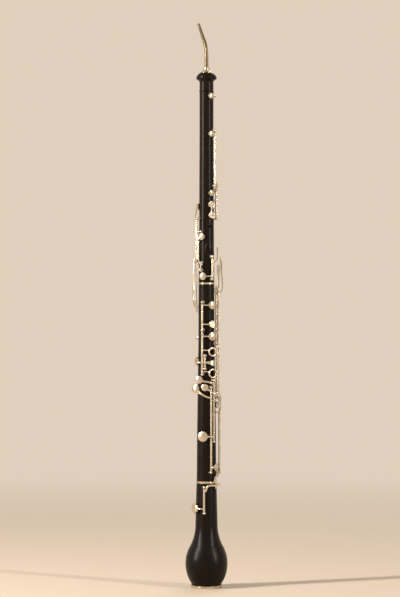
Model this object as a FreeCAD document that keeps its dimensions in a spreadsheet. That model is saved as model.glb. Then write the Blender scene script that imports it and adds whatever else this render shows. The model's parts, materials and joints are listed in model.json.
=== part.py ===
# English horn: bell, two joints, bent bocal and the key work, in millimetres.
# The axis of the bore is Z. The bell's mouth is at Z 0 and the finger holes face -Y.
# A place on the instrument is a turn in degrees from the front, positive to the right,
# a rise above the foot of its own joint, and a distance from the axis.
import FreeCAD, Part
import Sketcher
import math
import os
import re
from FreeCAD import Placement, Rotation, Vector

SIZES = {
    # The turned wood
    "bell_length": 164.0,
    "bell_drawn_length": 164.0,
    "bell_ring_height": 3.4,
    "bell_ring_radius": 15.75,
    "bell_neck_radius": 15.5,
    "bell_waist_rise": 94.0,
    "bell_waist_radius": 17.2,
    "bell_shoulder_rise": 65.0,
    "bell_shoulder_radius": 24.9,
    "bell_foot_rise": 7.0,
    "bell_foot_radius": 23.6,
    "bell_bulge_radius": 55.0,
    "bell_flare_radius": 70.0,
    "bell_wall": 5.6,
    "mouth_radius": 19.0,
    "mouth_height": 7.5,
    "throat_rise": 92.0,
    "throat_radius": 10.6,
    "rim_ring_height": 4.0,
    "rim_ring_radius": 24.25,
    "rim_ring_width": 3.4,
    "lower_length": 305.5,
    "lower_drawn_length": 305.5,
    "lower_foot_radius": 15.2,
    "lower_waist_rise": 80.0,
    "lower_waist_radius": 14.5,
    "lower_slim_rise": 221.0,
    "lower_slim_radius": 12.5,
    "lower_top_radius": 12.2,
    "socket_ring_height": 2.7,
    "socket_ring_radius": 12.45,
    "socket_ring_wall": 1.1,
    "upper_length": 323.3,
    "upper_drawn_length": 323.3,
    "upper_foot_radius": 12.1,
    "upper_waist_rise": 90.0,
    "upper_waist_radius": 11.4,
    "upper_slim_rise": 230.0,
    "upper_slim_radius": 10.75,
    "bead_drop": 29.0,
    "bead_height": 2.2,
    "bead_radius": 11.5,
    "crown_start_drop": 14.3,
    "crown_under_drop": 11.1,
    "crown_under_radius": 14.8,
    "crown_widest_drop": 8.7,
    "crown_radius": 16.0,
    "crown_top_radius": 9.5,
    "crown_cove": 5.0,
    "crown_dome": 13.0,
    # Bores, sockets and tenons
    "bore_foot_radius": 8.3,
    "bore_middle_radius": 5.5,
    "bore_top_radius": 3.1,
    "tenon_length": 22.0,
    "socket_bottom_gap": 0.6,
    "shoulder_gap": 0.05,
    "lower_tenon_radius": 12.0,
    "upper_tenon_radius": 9.0,
    "cork_thickness": 0.35,
    "cork_fit": 0.05,
    "cork_end": 3.5,
    "tenon_cap_height": 2.5,
    # The bocal and its receiver
    "receiver_depth": 24.0,
    "receiver_radius": 4.6,
    "receiver_bore": 3.65,
    "receiver_skirt_radius": 8.6,
    "receiver_skirt_height": 4.2,
    "receiver_collar_radius": 4.9,
    "receiver_collar_height": 4.0,
    "bocal_insertion": 22.0,
    "bocal_foot_radius": 3.2,
    "bocal_bend_radius": 2.75,
    "bocal_tip_radius": 2.15,
    "bocal_foot_length": 16.0,
    "bocal_bend": 47.0,
    "bocal_bend_angle": 34.0,
    "bocal_top_length": 22.0,
    "bocal_tip_length": 10.0,
    "bocal_wall": 0.6,
    # Parts common to all the keys
    "rod_radius": 0.95,
    "rod_in_ball": 0.8,
    "running_fit": 0.05,
    "end_gap": 0.12,
    "tube_radius": 1.65,
    "ball_radius": 2.3,
    "post_foot_radius": 2.5,
    "post_foot_height": 0.9,
    "post_shank_radius": 1.15,
    "post_peg_depth": 2.2,
    "post_taper": 0.8,
    "arm_radius": 1.1,
    "seat_rise": 0.4,
    "seat_inset": 1.0,
    "pad_gap": 0.12,
    "pad_height": 2.2,
    "pad_lip": 0.8,
    "cup_wall": 0.5,
    "cup_top": 0.6,
    "cup_arm_lift": 0.8,
    "cup_arm_past": 13.0,
    "plate_rim": 0.6,
    "half_hole_rim": 1.0,
    "half_hole_button": 1.7,
    "collar_radius": 2.05,
    "collar_height": 1.6,
    # Rods: how far each stands off the wood, its turn, and its two posts
    "octave_rod_stand": 3.3,
    "upper_rod_stand": 4.3,
    "lower_rod_stand": 4.0,
    "foot_rod_stand": 3.6,
    "side_rod_stand": 5.7,
    "link_rod_stand": 5.2,
    "bell_rod_stand": 3.9,
    "upper_octave_rod_turn": 112.0,
    "upper_octave_rod_low": 154.5,
    "upper_octave_rod_high": 292.5,
    "lower_octave_rod_turn": 37.0,
    "lower_octave_rod_low": 149.0,
    "lower_octave_rod_high": 233.5,
    "hand_rod_turn": 50.0,
    "hand_rod_low": 98.5,
    "hand_rod_high": 143.5,
    "outer_trill_rod_turn": -100.0,
    "outer_trill_rod_low": 33.5,
    "outer_trill_rod_high": 98.5,
    "inner_trill_rod_turn": -82.0,
    "inner_trill_rod_low": 30.0,
    "inner_trill_rod_high": 78.0,
    "guide_rod_turn": -63.0,
    "guide_rod_low": 19.0,
    "guide_rod_high": 29.9,
    "g_sharp_rod_turn": 6.0,
    "g_sharp_rod_low": 5.3,
    "g_sharp_rod_high": 39.5,
    "finger_rod_turn": -52.0,
    "finger_rod_low": 164.5,
    "finger_rod_middle": 232.5,
    "finger_rod_high": 275.0,
    "f_rod_turn": -37.0,
    "f_rod_low": 173.0,
    "f_rod_high": 193.0,
    "a_rod_turn": -5.0,
    "a_rod_low": 14.0,
    "a_rod_high": 144.5,
    "a_rod_split": 132.0,
    "b_rod_turn": 11.0,
    "b_rod_low": 61.6,
    "b_rod_high": 155.5,
    "side_rod_turn": 62.0,
    "side_rod_low": 129.0,
    "side_rod_high": 293.0,
    "hidden_rod_turn": 84.0,
    "hidden_rod_low": 204.0,
    "hidden_rod_high": 298.0,
    "bridge_rod_turn": 41.0,
    "bridge_rod_low": 136.0,
    "bridge_rod_high": 212.0,
    "link_rod_turn": 62.0,
    "link_rod_low": 13.0,
    "link_rod_high": 106.0,
    "bell_rod_turn": -39.0,
    "bell_rod_low": 115.8,
    "bell_rod_high": 155.0,
    # Cups and plates: turn, rise and radius
    "upper_octave_cup_turn": 2.0,
    "upper_octave_cup_rise": 286.9,
    "upper_octave_cup_radius": 4.4,
    "lower_octave_cup_turn": 3.0,
    "lower_octave_cup_rise": 228.5,
    "lower_octave_cup_radius": 4.4,
    "small_trill_cup_turn": 5.0,
    "small_trill_cup_rise": 137.5,
    "small_trill_cup_radius": 4.5,
    "half_hole_cup_turn": 2.0,
    "half_hole_cup_rise": 120.0,
    "half_hole_cup_radius": 5.2,
    "half_hole_plate_rise": 103.5,
    "half_hole_plate_radius": 5.0,
    "outer_trill_cup_turn": -124.0,
    "outer_trill_cup_rise": 117.0,
    "outer_trill_cup_radius": 5.5,
    "inner_trill_cup_turn": -62.0,
    "inner_trill_cup_rise": 70.5,
    "inner_trill_cup_radius": 5.4,
    "g_sharp_cup_turn": -51.0,
    "g_sharp_cup_rise": 9.7,
    "g_sharp_cup_radius": 5.6,
    "front_turn": 7.0,
    "first_finger_cup_rise": 270.7,
    "first_finger_cup_radius": 6.1,
    "first_finger_plate_rise": 241.5,
    "first_finger_plate_radius": 5.7,
    "ring_cup_rise": 223.0,
    "ring_cup_radius": 6.5,
    "ring_outer_radius": 7.4,
    "ring_wire_radius": 1.25,
    "ring_arm_offset": 2.7,
    "second_ring_rise": 199.0,
    "third_ring_rise": 166.0,
    "f_cup_turn": -103.0,
    "f_cup_rise": 184.8,
    "f_cup_radius": 7.0,
    "e_flat_cup_turn": 60.0,
    "e_flat_cup_rise": 117.6,
    "e_flat_cup_radius": 5.4,
    "c_cup_turn": -48.0,
    "c_cup_rise": 69.2,
    "c_cup_radius": 7.8,
    "c_sharp_cup_turn": 30.0,
    "c_sharp_cup_rise": 21.6,
    "c_sharp_cup_radius": 6.15,
    "bell_cup_turn": -92.0,
    "bell_cup_rise": 122.4,
    "bell_cup_radius": 7.7,
    # Touches, levers and how far the open-standing keys stand off
    "touch_thickness": 1.5,
    "c_touch_turn": -65.0,
    "c_touch_facing": -50.0,
    "c_touch_rise": 156.3,
    "c_touch_radius": 5.85,
    "c_sharp_touch_turn": -87.0,
    "c_sharp_touch_facing": -57.0,
    "c_sharp_touch_rise": 142.2,
    "c_sharp_touch_radius": 6.4,
    "e_flat_touch_turn": -36.0,
    "e_flat_touch_facing": -36.0,
    "e_flat_touch_rise": 144.5,
    "e_flat_touch_radius": 5.4,
    "lever_half_width": 1.4,
    "lever_half_thick": 0.85,
    "lever_bevel": 0.55,
    "touch_half_thick": 0.9,
    "lever_tip_half_width": 0.8,
    "lever_tip_half_thick": 0.5,
    "thin_half_width": 1.0,
    "thin_half_thick": 0.7,
    "spoon_half_width": 3.4,
    "spoon_half_thick": 1.0,
    "spoon_end_half_width": 2.2,
    "spoon_end_half_thick": 0.7,
    "pad_bevel": 0.4,
    "over_rod": 3.1,
    "half_hole_stand": 4.0,
    "first_finger_stand": 4.0,
    "ring_stand": 4.0,
    "c_key_stand": 5.0,
    "bell_key_stand": 6.0,
    # Tone holes and finger holes
    "small_hole_radius": 1.0,
    "finger_hole_radius": 1.6,
    "finger_hole_rise": 86.5,
    "twin_hole_turn": 14.0,
    "twin_hole_radius": 1.3,
    "twin_hole_rise": 53.0,
    "twin_boss_turn": -3.5,
    "twin_boss_half_height": 11.5,
    "twin_boss_half_width": 6.8,
    "twin_boss_stand": 1.5,
    "ring_hole_radius": 2.4,
    "chimney_radius": 4.2,
    "chimney_rise": 2.6,
    "vent_depth": 5.0,
    "vent_radius": 1.9,
    # Springs, corks and thumb rest
    "spring_radius": 0.3,
    "spring_tip_radius": 0.2,
    "spring_length": 17.0,
    "spring_butt": 2.6,
    "spring_side": 2.65,
    "cork_radius": 1.8,
    "cork_seat": 0.6,
    "cork_stand": 2.6,
    "cork_edge": 0.4,
    "link_cork_turn": 50.0,
    "link_cork_rise": 8.0,
    "thumb_rest_turn": 178.0,
    "thumb_rest_rise": 216.0,
    "thumb_plate_half_width": 6.0,
    "thumb_plate_half_height": 13.0,
    "thumb_plate_stand": 1.6,
    "thumb_hook_reach": 17.0,
    "thumb_hook_radius": 1.9,
    "thumb_screw_spacing": 21.0,
    "thumb_screw_radius": 1.3,
    "thumb_screw_head": 2.1,
    "strap_ring_radius": 3.2,
    "strap_ring_wire": 0.9,
}

doc = FreeCAD.newDocument("EnglishHorn")
sheet = doc.addObject("Spreadsheet::Sheet", "Dims")
for row, (alias, size) in enumerate(SIZES.items(), start=1):
    sheet.set(f"A{row}", alias)
    sheet.set(f"B{row}", str(size))
    sheet.setAlias(f"B{row}", alias)
doc.recompute()

NAME = re.compile(r"[a-z][a-z0-9_]*")
UPPER = "(bell_length + lower_length)"
LOWER = "bell_length"
BELL = "0"
LENGTH = {
    UPPER: "upper_length / upper_drawn_length",
    LOWER: "lower_length / lower_drawn_length",
    BELL: "bell_length / bell_drawn_length",
}
NODES = {}


def rise_on(foot, rise):
    """A rise above a joint's foot. It is given for the joint's drawn length, and scales with it."""
    return f"(({rise}) * {LENGTH[foot]})"


def level(foot, rise):
    """The height above the floor of a rise on a joint."""
    return f"({foot} + {rise_on(foot, rise)})"


def on_sheet(text):
    """The expression with the sheet's name before each size."""
    return NAME.sub(lambda m: "Dims." + m[0] if m[0] in SIZES else m[0], str(text))


def value(text):
    """The number that an expression gives."""
    found = sheet.evalExpression(on_sheet(text))
    return float(getattr(found, "Value", found))


def bind(item, **sizes):
    """Tie properties of an object to expressions on the sheet."""
    for name, text in sizes.items():
        item.setExpression(name, on_sheet(text))
    return item


def move(item, x="0", y="0", z="0", turn=None):
    """Tie an object's place, and its turn about Z, to expressions."""
    if turn is not None:
        item.Placement = Placement(Vector(), Rotation(Vector(0, 0, 1), 10))
        item.setExpression(".Placement.Rotation.Angle", on_sheet(turn))
    for axis, text in (("x", x), ("y", y), ("z", z)):
        if text != "0":
            item.setExpression(".Placement.Base." + axis, on_sheet(text))
    return item


def fuse(label, items):
    """One object from several that touch."""
    joined = doc.addObject("Part::MultiFuse", label)
    joined.Shapes = items
    joined.Label = label
    return joined


def group(label, items):
    """Several objects kept side by side."""
    kept = doc.addObject("Part::Compound", label)
    kept.Links = items
    return kept


def cut(label, base, tool):
    """The base without the tool."""
    left = doc.addObject("Part::Cut", label)
    left.Base = base
    left.Tool = tool
    left.Label = label
    return left


def node(item, label):
    """Keep an object as a piece of the instrument."""
    item.Label = label
    NODES[label] = item
    return item


# The wood's outer radius at a rise on each joint
def upper_wood(rise):
    low = f"upper_foot_radius + (upper_waist_radius - upper_foot_radius) * ({rise}) / upper_waist_rise"
    high = (f"upper_waist_radius + (upper_slim_radius - upper_waist_radius)"
            f" * (({rise}) - upper_waist_rise) / (upper_slim_rise - upper_waist_rise)")
    return (f"(({rise}) < upper_waist_rise ? {low} :"
            f" (({rise}) < upper_slim_rise ? {high} : upper_slim_radius))")


def lower_wood(rise):
    low = f"lower_foot_radius + (lower_waist_radius - lower_foot_radius) * ({rise}) / lower_waist_rise"
    middle = (f"lower_waist_radius + (lower_slim_radius - lower_waist_radius)"
              f" * (({rise}) - lower_waist_rise) / (lower_slim_rise - lower_waist_rise)")
    high = (f"lower_slim_radius + (lower_top_radius - lower_slim_radius)"
            f" * (({rise}) - lower_slim_rise) / (lower_length - lower_slim_rise)")
    return (f"(({rise}) < lower_waist_rise ? {low} :"
            f" (({rise}) < lower_slim_rise ? {middle} : {high}))")


def bell_wood(rise):
    return (f"(bell_waist_radius + (bell_neck_radius - bell_waist_radius)"
            f" * (({rise}) - bell_waist_rise) / (bell_length - bell_ring_height - bell_waist_rise))")


WOOD = {UPPER: upper_wood, LOWER: lower_wood, BELL: bell_wood}


# Turned pieces: an outline of corners (radius, height), each with the arc that leads on to the next
def turned(label, corners):
    """A closed outline turned about the axis. A corner's third item is an arc's radius, and
    positive bulges away from the axis."""
    body = doc.addObject("PartDesign::Body", label)
    sketch = body.newObject("Sketcher::SketchObject", label + "_outline")
    plane = [f for f in body.Origin.OriginFeatures if f.Role == "XZ_Plane"][0]
    sketch.AttachmentSupport = [(plane, "")]
    sketch.MapMode = "FlatFace"
    points = [Vector(value(c[0]), value(c[1]), 0) for c in corners]
    ends = []
    for index, corner in enumerate(corners):
        start = points[index]
        stop = points[(index + 1) % len(points)]
        if len(corner) < 3:
            sketch.addGeometry(Part.LineSegment(start, stop), False)
            ends.append((1, 2))
            continue
        bulge = 1 if corner[3] == "out" else -1
        radius = value(corner[2])
        middle = (start + stop) * 0.5
        chord = stop - start
        across = Vector(chord.y, -chord.x, 0).normalize()
        if across.x * bulge < 0:
            across = across * -1
        depth = math.sqrt(radius ** 2 - (chord.Length / 2) ** 2)
        centre = middle - across * depth
        first = math.atan2(start.y - centre.y, start.x - centre.x)
        last = math.atan2(stop.y - centre.y, stop.x - centre.x)
        counter = (last - first) % (2 * math.pi) < math.pi
        circle = Part.Circle(centre, Vector(0, 0, 1), radius)
        angles = (first, last) if counter else (last, first)
        sketch.addGeometry(Part.ArcOfCircle(circle, *angles), False)
        ends.append((1, 2) if counter else (2, 1))
    for index in range(len(corners)):
        following = (index + 1) % len(corners)
        sketch.addConstraint(Sketcher.Constraint(
            "Coincident", index, ends[index][1], following, ends[following][0]))
    for index, corner in enumerate(corners):
        for kind, text, size in (("DistanceX", corner[0], points[index].x),
                                 ("DistanceY", corner[1], points[index].y)):
            number = sketch.addConstraint(Sketcher.Constraint(
                kind, -1, 1, index, ends[index][0], size))
            sketch.setExpression(f"Constraints[{number}]", on_sheet(text))
        if len(corner) > 2:
            number = sketch.addConstraint(Sketcher.Constraint("Radius", index, value(corner[2])))
            sketch.setExpression(f"Constraints[{number}]", on_sheet(corner[2]))
    turn = body.newObject("PartDesign::Revolution", label + "_turned")
    turn.Profile = (sketch, [""])
    turn.ReferenceAxis = (sketch, ["V_Axis"])
    turn.Angle = 360
    body.Tip = turn
    return body


# Pieces laid out along a radius: local X leads away from the axis, local Z stays up
def disc(radius, start, height):
    """A round disc square to the radius."""
    item = bind(doc.addObject("Part::Cylinder", "Disc"), Radius=radius, Height=height)
    item.Placement = Placement(Vector(), Rotation(Vector(0, 1, 0), 90))
    item.setExpression(".Placement.Base.x", on_sheet(start))
    return item


def cone(radius_in, radius_out, start, height):
    """A taper along the radius."""
    item = bind(doc.addObject("Part::Cone", "Taper"), Radius1=radius_in, Radius2=radius_out,
                Height=height)
    item.Placement = Placement(Vector(), Rotation(Vector(0, 1, 0), 90))
    item.setExpression(".Placement.Base.x", on_sheet(start))
    return item


def dome(radius, start):
    """A shallow cap on a disc: a sixth of a sphere of twice its radius."""
    item = bind(doc.addObject("Part::Sphere", "Dome"), Radius=f"2 * ({radius})")
    item.Angle1 = 60
    item.Placement = Placement(Vector(), Rotation(Vector(0, 1, 0), 90))
    item.setExpression(".Placement.Base.x", on_sheet(f"({start}) - sqrt(3) * ({radius})"))
    return item


def ball(radius, start):
    item = bind(doc.addObject("Part::Sphere", "Ball"), Radius=radius)
    return move(item, x=start)


def hoop(radius, wire, start):
    """A ring of round wire square to the radius."""
    item = bind(doc.addObject("Part::Torus", "Hoop"), Radius1=radius, Radius2=wire)
    item.Placement = Placement(Vector(), Rotation(Vector(0, 1, 0), 90))
    item.setExpression(".Placement.Base.x", on_sheet(start))
    return item


def at(items, turn, height, joined=True):
    """Set pieces laid out along a radius at their turn and height."""
    kept = fuse("Set", items) if joined else group("Set", items)
    return move(kept, z=height, turn=f"({turn}) - 90")


# Straight and curved metal
def upright(radius, turn, distance, low, high):
    """A cylinder parallel to the axis."""
    item = bind(doc.addObject("Part::Cylinder", "Upright"), Radius=radius,
                Height=f"({high}) - ({low})")
    return move(item, x=f"({distance}) * sin({turn})", y=f"-({distance}) * cos({turn})", z=low)


def arm(distance, first, last, height, wire="arm_radius"):
    """A round arm bent about the axis, from one turn to a greater one."""
    item = bind(doc.addObject("Part::Torus", "Arm"), Radius1=distance, Radius2=wire,
                Angle3=f"({last}) - ({first})")
    return move(item, z=height, turn=f"({first}) - 90")


def place(turn, distance, height):
    angle = math.radians(turn)
    return Vector(distance * math.sin(angle), -distance * math.cos(angle), height)


def lever(label, stations):
    """A flat bar with bevelled edges that winds round the body through stations of turn,
    distance, height, half width and half thickness."""
    rows = [[value(text) for text in station] for station in stations]
    spots = [place(row[0], row[1], row[2]) for row in rows]
    wires = []
    for index, row in enumerate(rows):
        before = spots[max(index - 1, 0)]
        after = spots[min(index + 1, len(spots) - 1)]
        along = (after - before).normalize()
        out = place(row[0], 1, 0)
        side = along.cross(out).normalize()
        facing = side.cross(along).normalize()
        wide, thick = row[3], row[4]
        bevel = value("lever_bevel") * min(wide, thick)
        corners = [(wide, thick - bevel), (wide - bevel, thick)]
        corners += [(-x, y) for x, y in reversed(corners)]
        corners += [(-x, -y) for x, y in corners]
        ring = [spots[index] + side * x + facing * y for x, y in corners]
        wires.append(Part.makePolygon(ring + ring[:1]))
    item = doc.addObject("Part::Feature", label)
    item.Shape = Part.makeLoft(wires, True, False)
    return item


# Rods, posts and keys
class Rod:
    """A steel rod parallel to the axis, at its turn, standing off the wood."""

    def __init__(self, name, foot, stand, ends):
        self.foot = foot
        self.turn = name + "_rod_turn"
        self.ends = ends
        middle = rise_on(foot, f"0.5 * ({ends[0]} + {ends[-1]})")
        room = rise_on(foot, f"{ends[1]} - {ends[0]}")
        self.spring_reach = f"min(spring_length; 0.6 * {room})"
        self.distance = f"({WOOD[foot](middle)} + {stand})"
        self.rod = upright("rod_radius", self.turn, self.distance,
                           f"{level(foot, ends[0])} - rod_in_ball * ball_radius",
                           f"{level(foot, ends[-1])} + rod_in_ball * ball_radius")

    def posts(self):
        """Each post: a peg in the wood, a foot, a waist and a ball head."""
        made = []
        for rise in self.ends:
            skin = WOOD[self.foot](rise_on(self.foot, rise))
            foot_top = f"{skin} + 0.5 * post_foot_height"
            made.append(at([
                disc("post_shank_radius", f"{skin} - post_peg_depth", "post_peg_depth"),
                disc("post_foot_radius", f"{skin} - 0.5 * post_foot_height", "post_foot_height"),
                cone("post_foot_radius * post_taper", "post_shank_radius", foot_top,
                     f"{self.distance} - ({foot_top})"),
                ball("ball_radius", self.distance)], self.turn, level(self.foot, rise)))
        return made

    def sockets(self):
        """What the posts take out of the wood."""
        made = []
        for rise in self.ends:
            skin = WOOD[self.foot](rise_on(self.foot, rise))
            made.append(at([
                disc("post_shank_radius", f"{skin} - post_peg_depth", "post_peg_depth"),
                disc("post_foot_radius", f"{skin} - 0.5 * post_foot_height", "2 * post_foot_height")],
                self.turn, level(self.foot, rise)))
        return made

    def tube(self, low, high, radius="tube_radius"):
        """A hinge tube between two posts, clear of their heads."""
        return upright(radius, self.turn, self.distance,
                       f"{level(self.foot, low)} + ball_radius + end_gap",
                       f"{level(self.foot, high)} - ball_radius - end_gap")

    def bore(self, low, high):
        return upright("rod_radius + running_fit", self.turn, self.distance,
                       level(self.foot, low), level(self.foot, high))

    def spring(self):
        """A needle spring: its thick end in the first post, its point under the tube."""
        item = bind(doc.addObject("Part::Cone", "Needle"), Radius1="spring_radius",
                    Radius2="spring_tip_radius", Height=f"spring_butt + {self.spring_reach}")
        distance = f"({self.distance} - spring_side)"
        return move(item, x=f"{distance} * sin({self.turn})", y=f"-{distance} * cos({self.turn})",
                    z=f"{level(self.foot, self.ends[0])} - spring_butt")

    def collar(self, rise):
        return upright("collar_radius", self.turn, self.distance,
                       f"{level(self.foot, rise)} - 0.5 * collar_height",
                       f"{level(self.foot, rise)} + 0.5 * collar_height")

    def stand_off(self, item, angle):
        """Turn a whole key about its rod, for the keys that stand open."""
        x = f"({self.distance}) * sin({self.turn})"
        y = f"(0 - ({self.distance}) * cos({self.turn}))"
        return move(item, x=f"{x} - ({x} * cos({angle}) - {y} * sin({angle}))",
                    y=f"{y} - ({x} * sin({angle}) + {y} * cos({angle}))", turn=angle)


class Cup:
    """A padded cup over a tone hole: its seat in the wood, its pad and its metal."""

    def __init__(self, name, foot, turn=None, rise=None, radius=None, hole=None):
        self.foot = foot
        self.turn = turn or name + "_cup_turn"
        self.rise = rise or name + "_cup_rise"
        self.radius = radius or name + "_cup_radius"
        self.hole = hole or f"0.55 * {self.radius}"
        self.skin = WOOD[foot](rise_on(foot, self.rise))
        self.seat_face = f"({self.skin} + seat_rise)"
        self.pad_face = f"({self.seat_face} + pad_gap)"
        self.top = f"({self.pad_face} + pad_height + cup_top)"
        self.height = level(foot, self.rise)

    def seat(self):
        inner = f"({self.radius} - seat_inset)"
        depth = "0.2 * " + self.skin
        return at([disc(inner, f"{self.skin} - {depth}", f"{depth} + 0.5 * seat_rise"),
                   cone(inner, f"{inner} - 0.5 * seat_rise", f"{self.skin} + 0.5 * seat_rise",
                        "0.5 * seat_rise")], self.turn, self.height)

    def drill(self):
        return at([disc(self.hole, "0", f"{self.seat_face} + 1")], self.turn, self.height, False)

    def pad(self):
        inner = f"({self.radius} - cup_wall)"
        return at([disc(f"{inner} - pad_bevel", self.pad_face, "pad_height"),
                   disc(inner, f"{self.pad_face} + pad_bevel", "pad_height - pad_bevel")],
                  self.turn, self.height)

    def metal(self):
        return at([disc(self.radius, f"{self.pad_face} + pad_lip", "pad_height + cup_top - pad_lip"),
                   dome(self.radius, self.top)], self.turn, self.height)

    def plate(self, rim="plate_rim"):
        """A flat-topped cup that a finger rests on, with a raised edge."""
        return at([disc(self.radius, f"{self.pad_face} + pad_lip", "pad_height + cup_top - pad_lip"),
                   hoop(f"{self.radius} - {rim}", rim, self.top)], self.turn, self.height)


def key(label, rod, spans, metal, cups, stand=None):
    """One key: its tubes and metal, bored for the rod, and the pads in its cups."""
    tubes = [rod.tube(low, high) for low, high in spans]
    bores = [rod.bore(low, high) for low, high in spans]
    pads = [cup.pad() for cup in cups]
    whole = fuse(label + "_metal", tubes + metal)
    tool = group(label + "_space", bores + pads)
    made = cut(label, whole, tool)
    if stand:
        rod.stand_off(made, stand)
    node(made, label)
    if pads:
        kept = group(label.replace("_key", "") + "_pad", [cup.pad() for cup in cups])
        if stand:
            rod.stand_off(kept, stand)
        node(kept, label.replace("_key", "") + "_pad")
    return made


def touch(name, distance):
    """A round domed touch for the little finger, which faces its own way."""
    made = fuse("Touch", [disc(f"{name}_touch_radius", "-0.5 * touch_thickness", "touch_thickness"),
                          dome(f"{name}_touch_radius", "0.5 * touch_thickness")])
    return move(made, x=f"({distance}) * sin({name}_touch_turn)",
                y=f"-({distance}) * cos({name}_touch_turn)",
                z=level(LOWER, name + "_touch_rise"), turn=f"{name}_touch_facing - 90")


# The rods, in the order of the joints
upper_octave_rod = Rod("upper_octave", UPPER, "octave_rod_stand",
                       ["upper_octave_rod_low", "upper_octave_rod_high"])
lower_octave_rod = Rod("lower_octave", UPPER, "octave_rod_stand",
                       ["lower_octave_rod_low", "lower_octave_rod_high"])
hand_rod = Rod("hand", UPPER, "upper_rod_stand", ["hand_rod_low", "hand_rod_high"])
outer_trill_rod = Rod("outer_trill", UPPER, "upper_rod_stand",
                      ["outer_trill_rod_low", "outer_trill_rod_high"])
inner_trill_rod = Rod("inner_trill", UPPER, "upper_rod_stand",
                      ["inner_trill_rod_low", "inner_trill_rod_high"])
guide_rod = Rod("guide", UPPER, "upper_rod_stand", ["guide_rod_low", "guide_rod_high"])
g_sharp_rod = Rod("g_sharp", UPPER, "upper_rod_stand", ["g_sharp_rod_low", "g_sharp_rod_high"])
finger_rod = Rod("finger", LOWER, "lower_rod_stand",
                 ["finger_rod_low", "finger_rod_middle", "finger_rod_high"])
f_rod = Rod("f", LOWER, "lower_rod_stand", ["f_rod_low", "f_rod_high"])
a_rod = Rod("a", LOWER, "foot_rod_stand", ["a_rod_low", "a_rod_high"])
b_rod = Rod("b", LOWER, "foot_rod_stand", ["b_rod_low", "b_rod_high"])
side_rod = Rod("side", LOWER, "side_rod_stand", ["side_rod_low", "side_rod_high"])
hidden_rod = Rod("hidden", LOWER, "lower_rod_stand", ["hidden_rod_low", "hidden_rod_high"])
bridge_rod = Rod("bridge", LOWER, "lower_rod_stand", ["bridge_rod_low", "bridge_rod_high"])
link_rod = Rod("link", LOWER, "link_rod_stand", ["link_rod_low", "link_rod_high"])
bell_rod = Rod("bell", BELL, "bell_rod_stand", ["bell_rod_low", "bell_rod_high"])
UPPER_RODS = [upper_octave_rod, lower_octave_rod, hand_rod, outer_trill_rod, inner_trill_rod,
              guide_rod, g_sharp_rod]
LOWER_RODS = [finger_rod, f_rod, a_rod, b_rod, side_rod, hidden_rod, bridge_rod, link_rod]
BELL_RODS = [bell_rod]

# The cups
upper_octave = Cup("upper_octave", UPPER, hole="small_hole_radius")
lower_octave = Cup("lower_octave", UPPER, hole="small_hole_radius")
small_trill = Cup("small_trill", UPPER)
half_hole = Cup("half_hole", UPPER, hole="finger_hole_radius")
outer_trill = Cup("outer_trill", UPPER)
inner_trill = Cup("inner_trill", UPPER)
g_sharp = Cup("g_sharp", UPPER)
first_finger = Cup("first_finger", LOWER, turn="front_turn")
first_plate = Cup("first_finger_plate", LOWER, turn="front_turn",
                  rise="first_finger_plate_rise", radius="first_finger_plate_radius")
ring_cup = Cup("ring", LOWER, turn="front_turn")
f_cup = Cup("f", LOWER)
e_flat = Cup("e_flat", LOWER)
c_cup = Cup("c", LOWER)
c_sharp = Cup("c_sharp", LOWER)
bell_cup = Cup("bell", BELL)
UPPER_CUPS = [upper_octave, lower_octave, small_trill, half_hole, outer_trill, inner_trill, g_sharp]
LOWER_CUPS = [first_finger, first_plate, ring_cup, f_cup, e_flat, c_cup, c_sharp]

# Heights where the turned pieces meet
lower_shoulder = "bell_length + shoulder_gap"
lower_tenon_end = "(bell_length - tenon_length)"
upper_shoulder = f"{UPPER} + shoulder_gap"
upper_tenon_end = f"({UPPER} - tenon_length)"
bell_socket = "(lower_tenon_radius + cork_thickness + cork_fit)"
lower_socket = "(upper_tenon_radius + cork_thickness + cork_fit)"
bell_socket_floor = "(bell_length - tenon_length - socket_bottom_gap)"
lower_socket_floor = f"({UPPER} - tenon_length - socket_bottom_gap)"
crown_top = f"({UPPER} + upper_length)"

# The bell
inner_bulge = "bell_bulge_radius + 2 * bell_wall"
bell_wood_turned = turned("bell_turned", [
    ("mouth_radius", "0"),
    ("rim_ring_radius - rim_ring_width", "0"),
    ("rim_ring_radius - rim_ring_width", "rim_ring_height"),
    ("bell_foot_radius - 0.6", "rim_ring_height"),
    ("bell_foot_radius - 0.6", "bell_foot_rise - 0.8"),
    ("bell_foot_radius", "bell_foot_rise", "bell_bulge_radius", "out"),
    ("bell_shoulder_radius", "bell_shoulder_rise", "bell_flare_radius", "in"),
    ("bell_waist_radius", "bell_waist_rise"),
    ("bell_neck_radius", "bell_length - bell_ring_height"),
    ("bell_ring_radius - socket_ring_wall", "bell_length - bell_ring_height"),
    ("bell_ring_radius - socket_ring_wall", "bell_length"),
    (bell_socket, "bell_length"),
    (bell_socket, bell_socket_floor),
    ("bore_foot_radius", bell_socket_floor),
    ("throat_radius", "throat_rise", "bell_flare_radius", "in"),
    ("bell_shoulder_radius - bell_wall", "bell_shoulder_rise", inner_bulge, "out"),
    ("mouth_radius", "mouth_height"),
])
bell_base = fuse("bell_raised", [bell_wood_turned, bell_cup.seat()])
bell_tools = group("bell_holes", [bell_cup.drill()] + bell_rod.sockets())
node(cut("bell", bell_base, bell_tools), "bell")
node(turned("bell_socket_ring", [
    ("bell_ring_radius - socket_ring_wall", "bell_length - bell_ring_height"),
    ("bell_ring_radius - 0.3", "bell_length - bell_ring_height"),
    ("bell_ring_radius", "bell_length - bell_ring_height + 0.3"),
    ("bell_ring_radius", "bell_length - 0.3"),
    ("bell_ring_radius - 0.3", "bell_length"),
    ("bell_ring_radius - socket_ring_wall", "bell_length"),
]), "bell_socket_ring")
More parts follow.
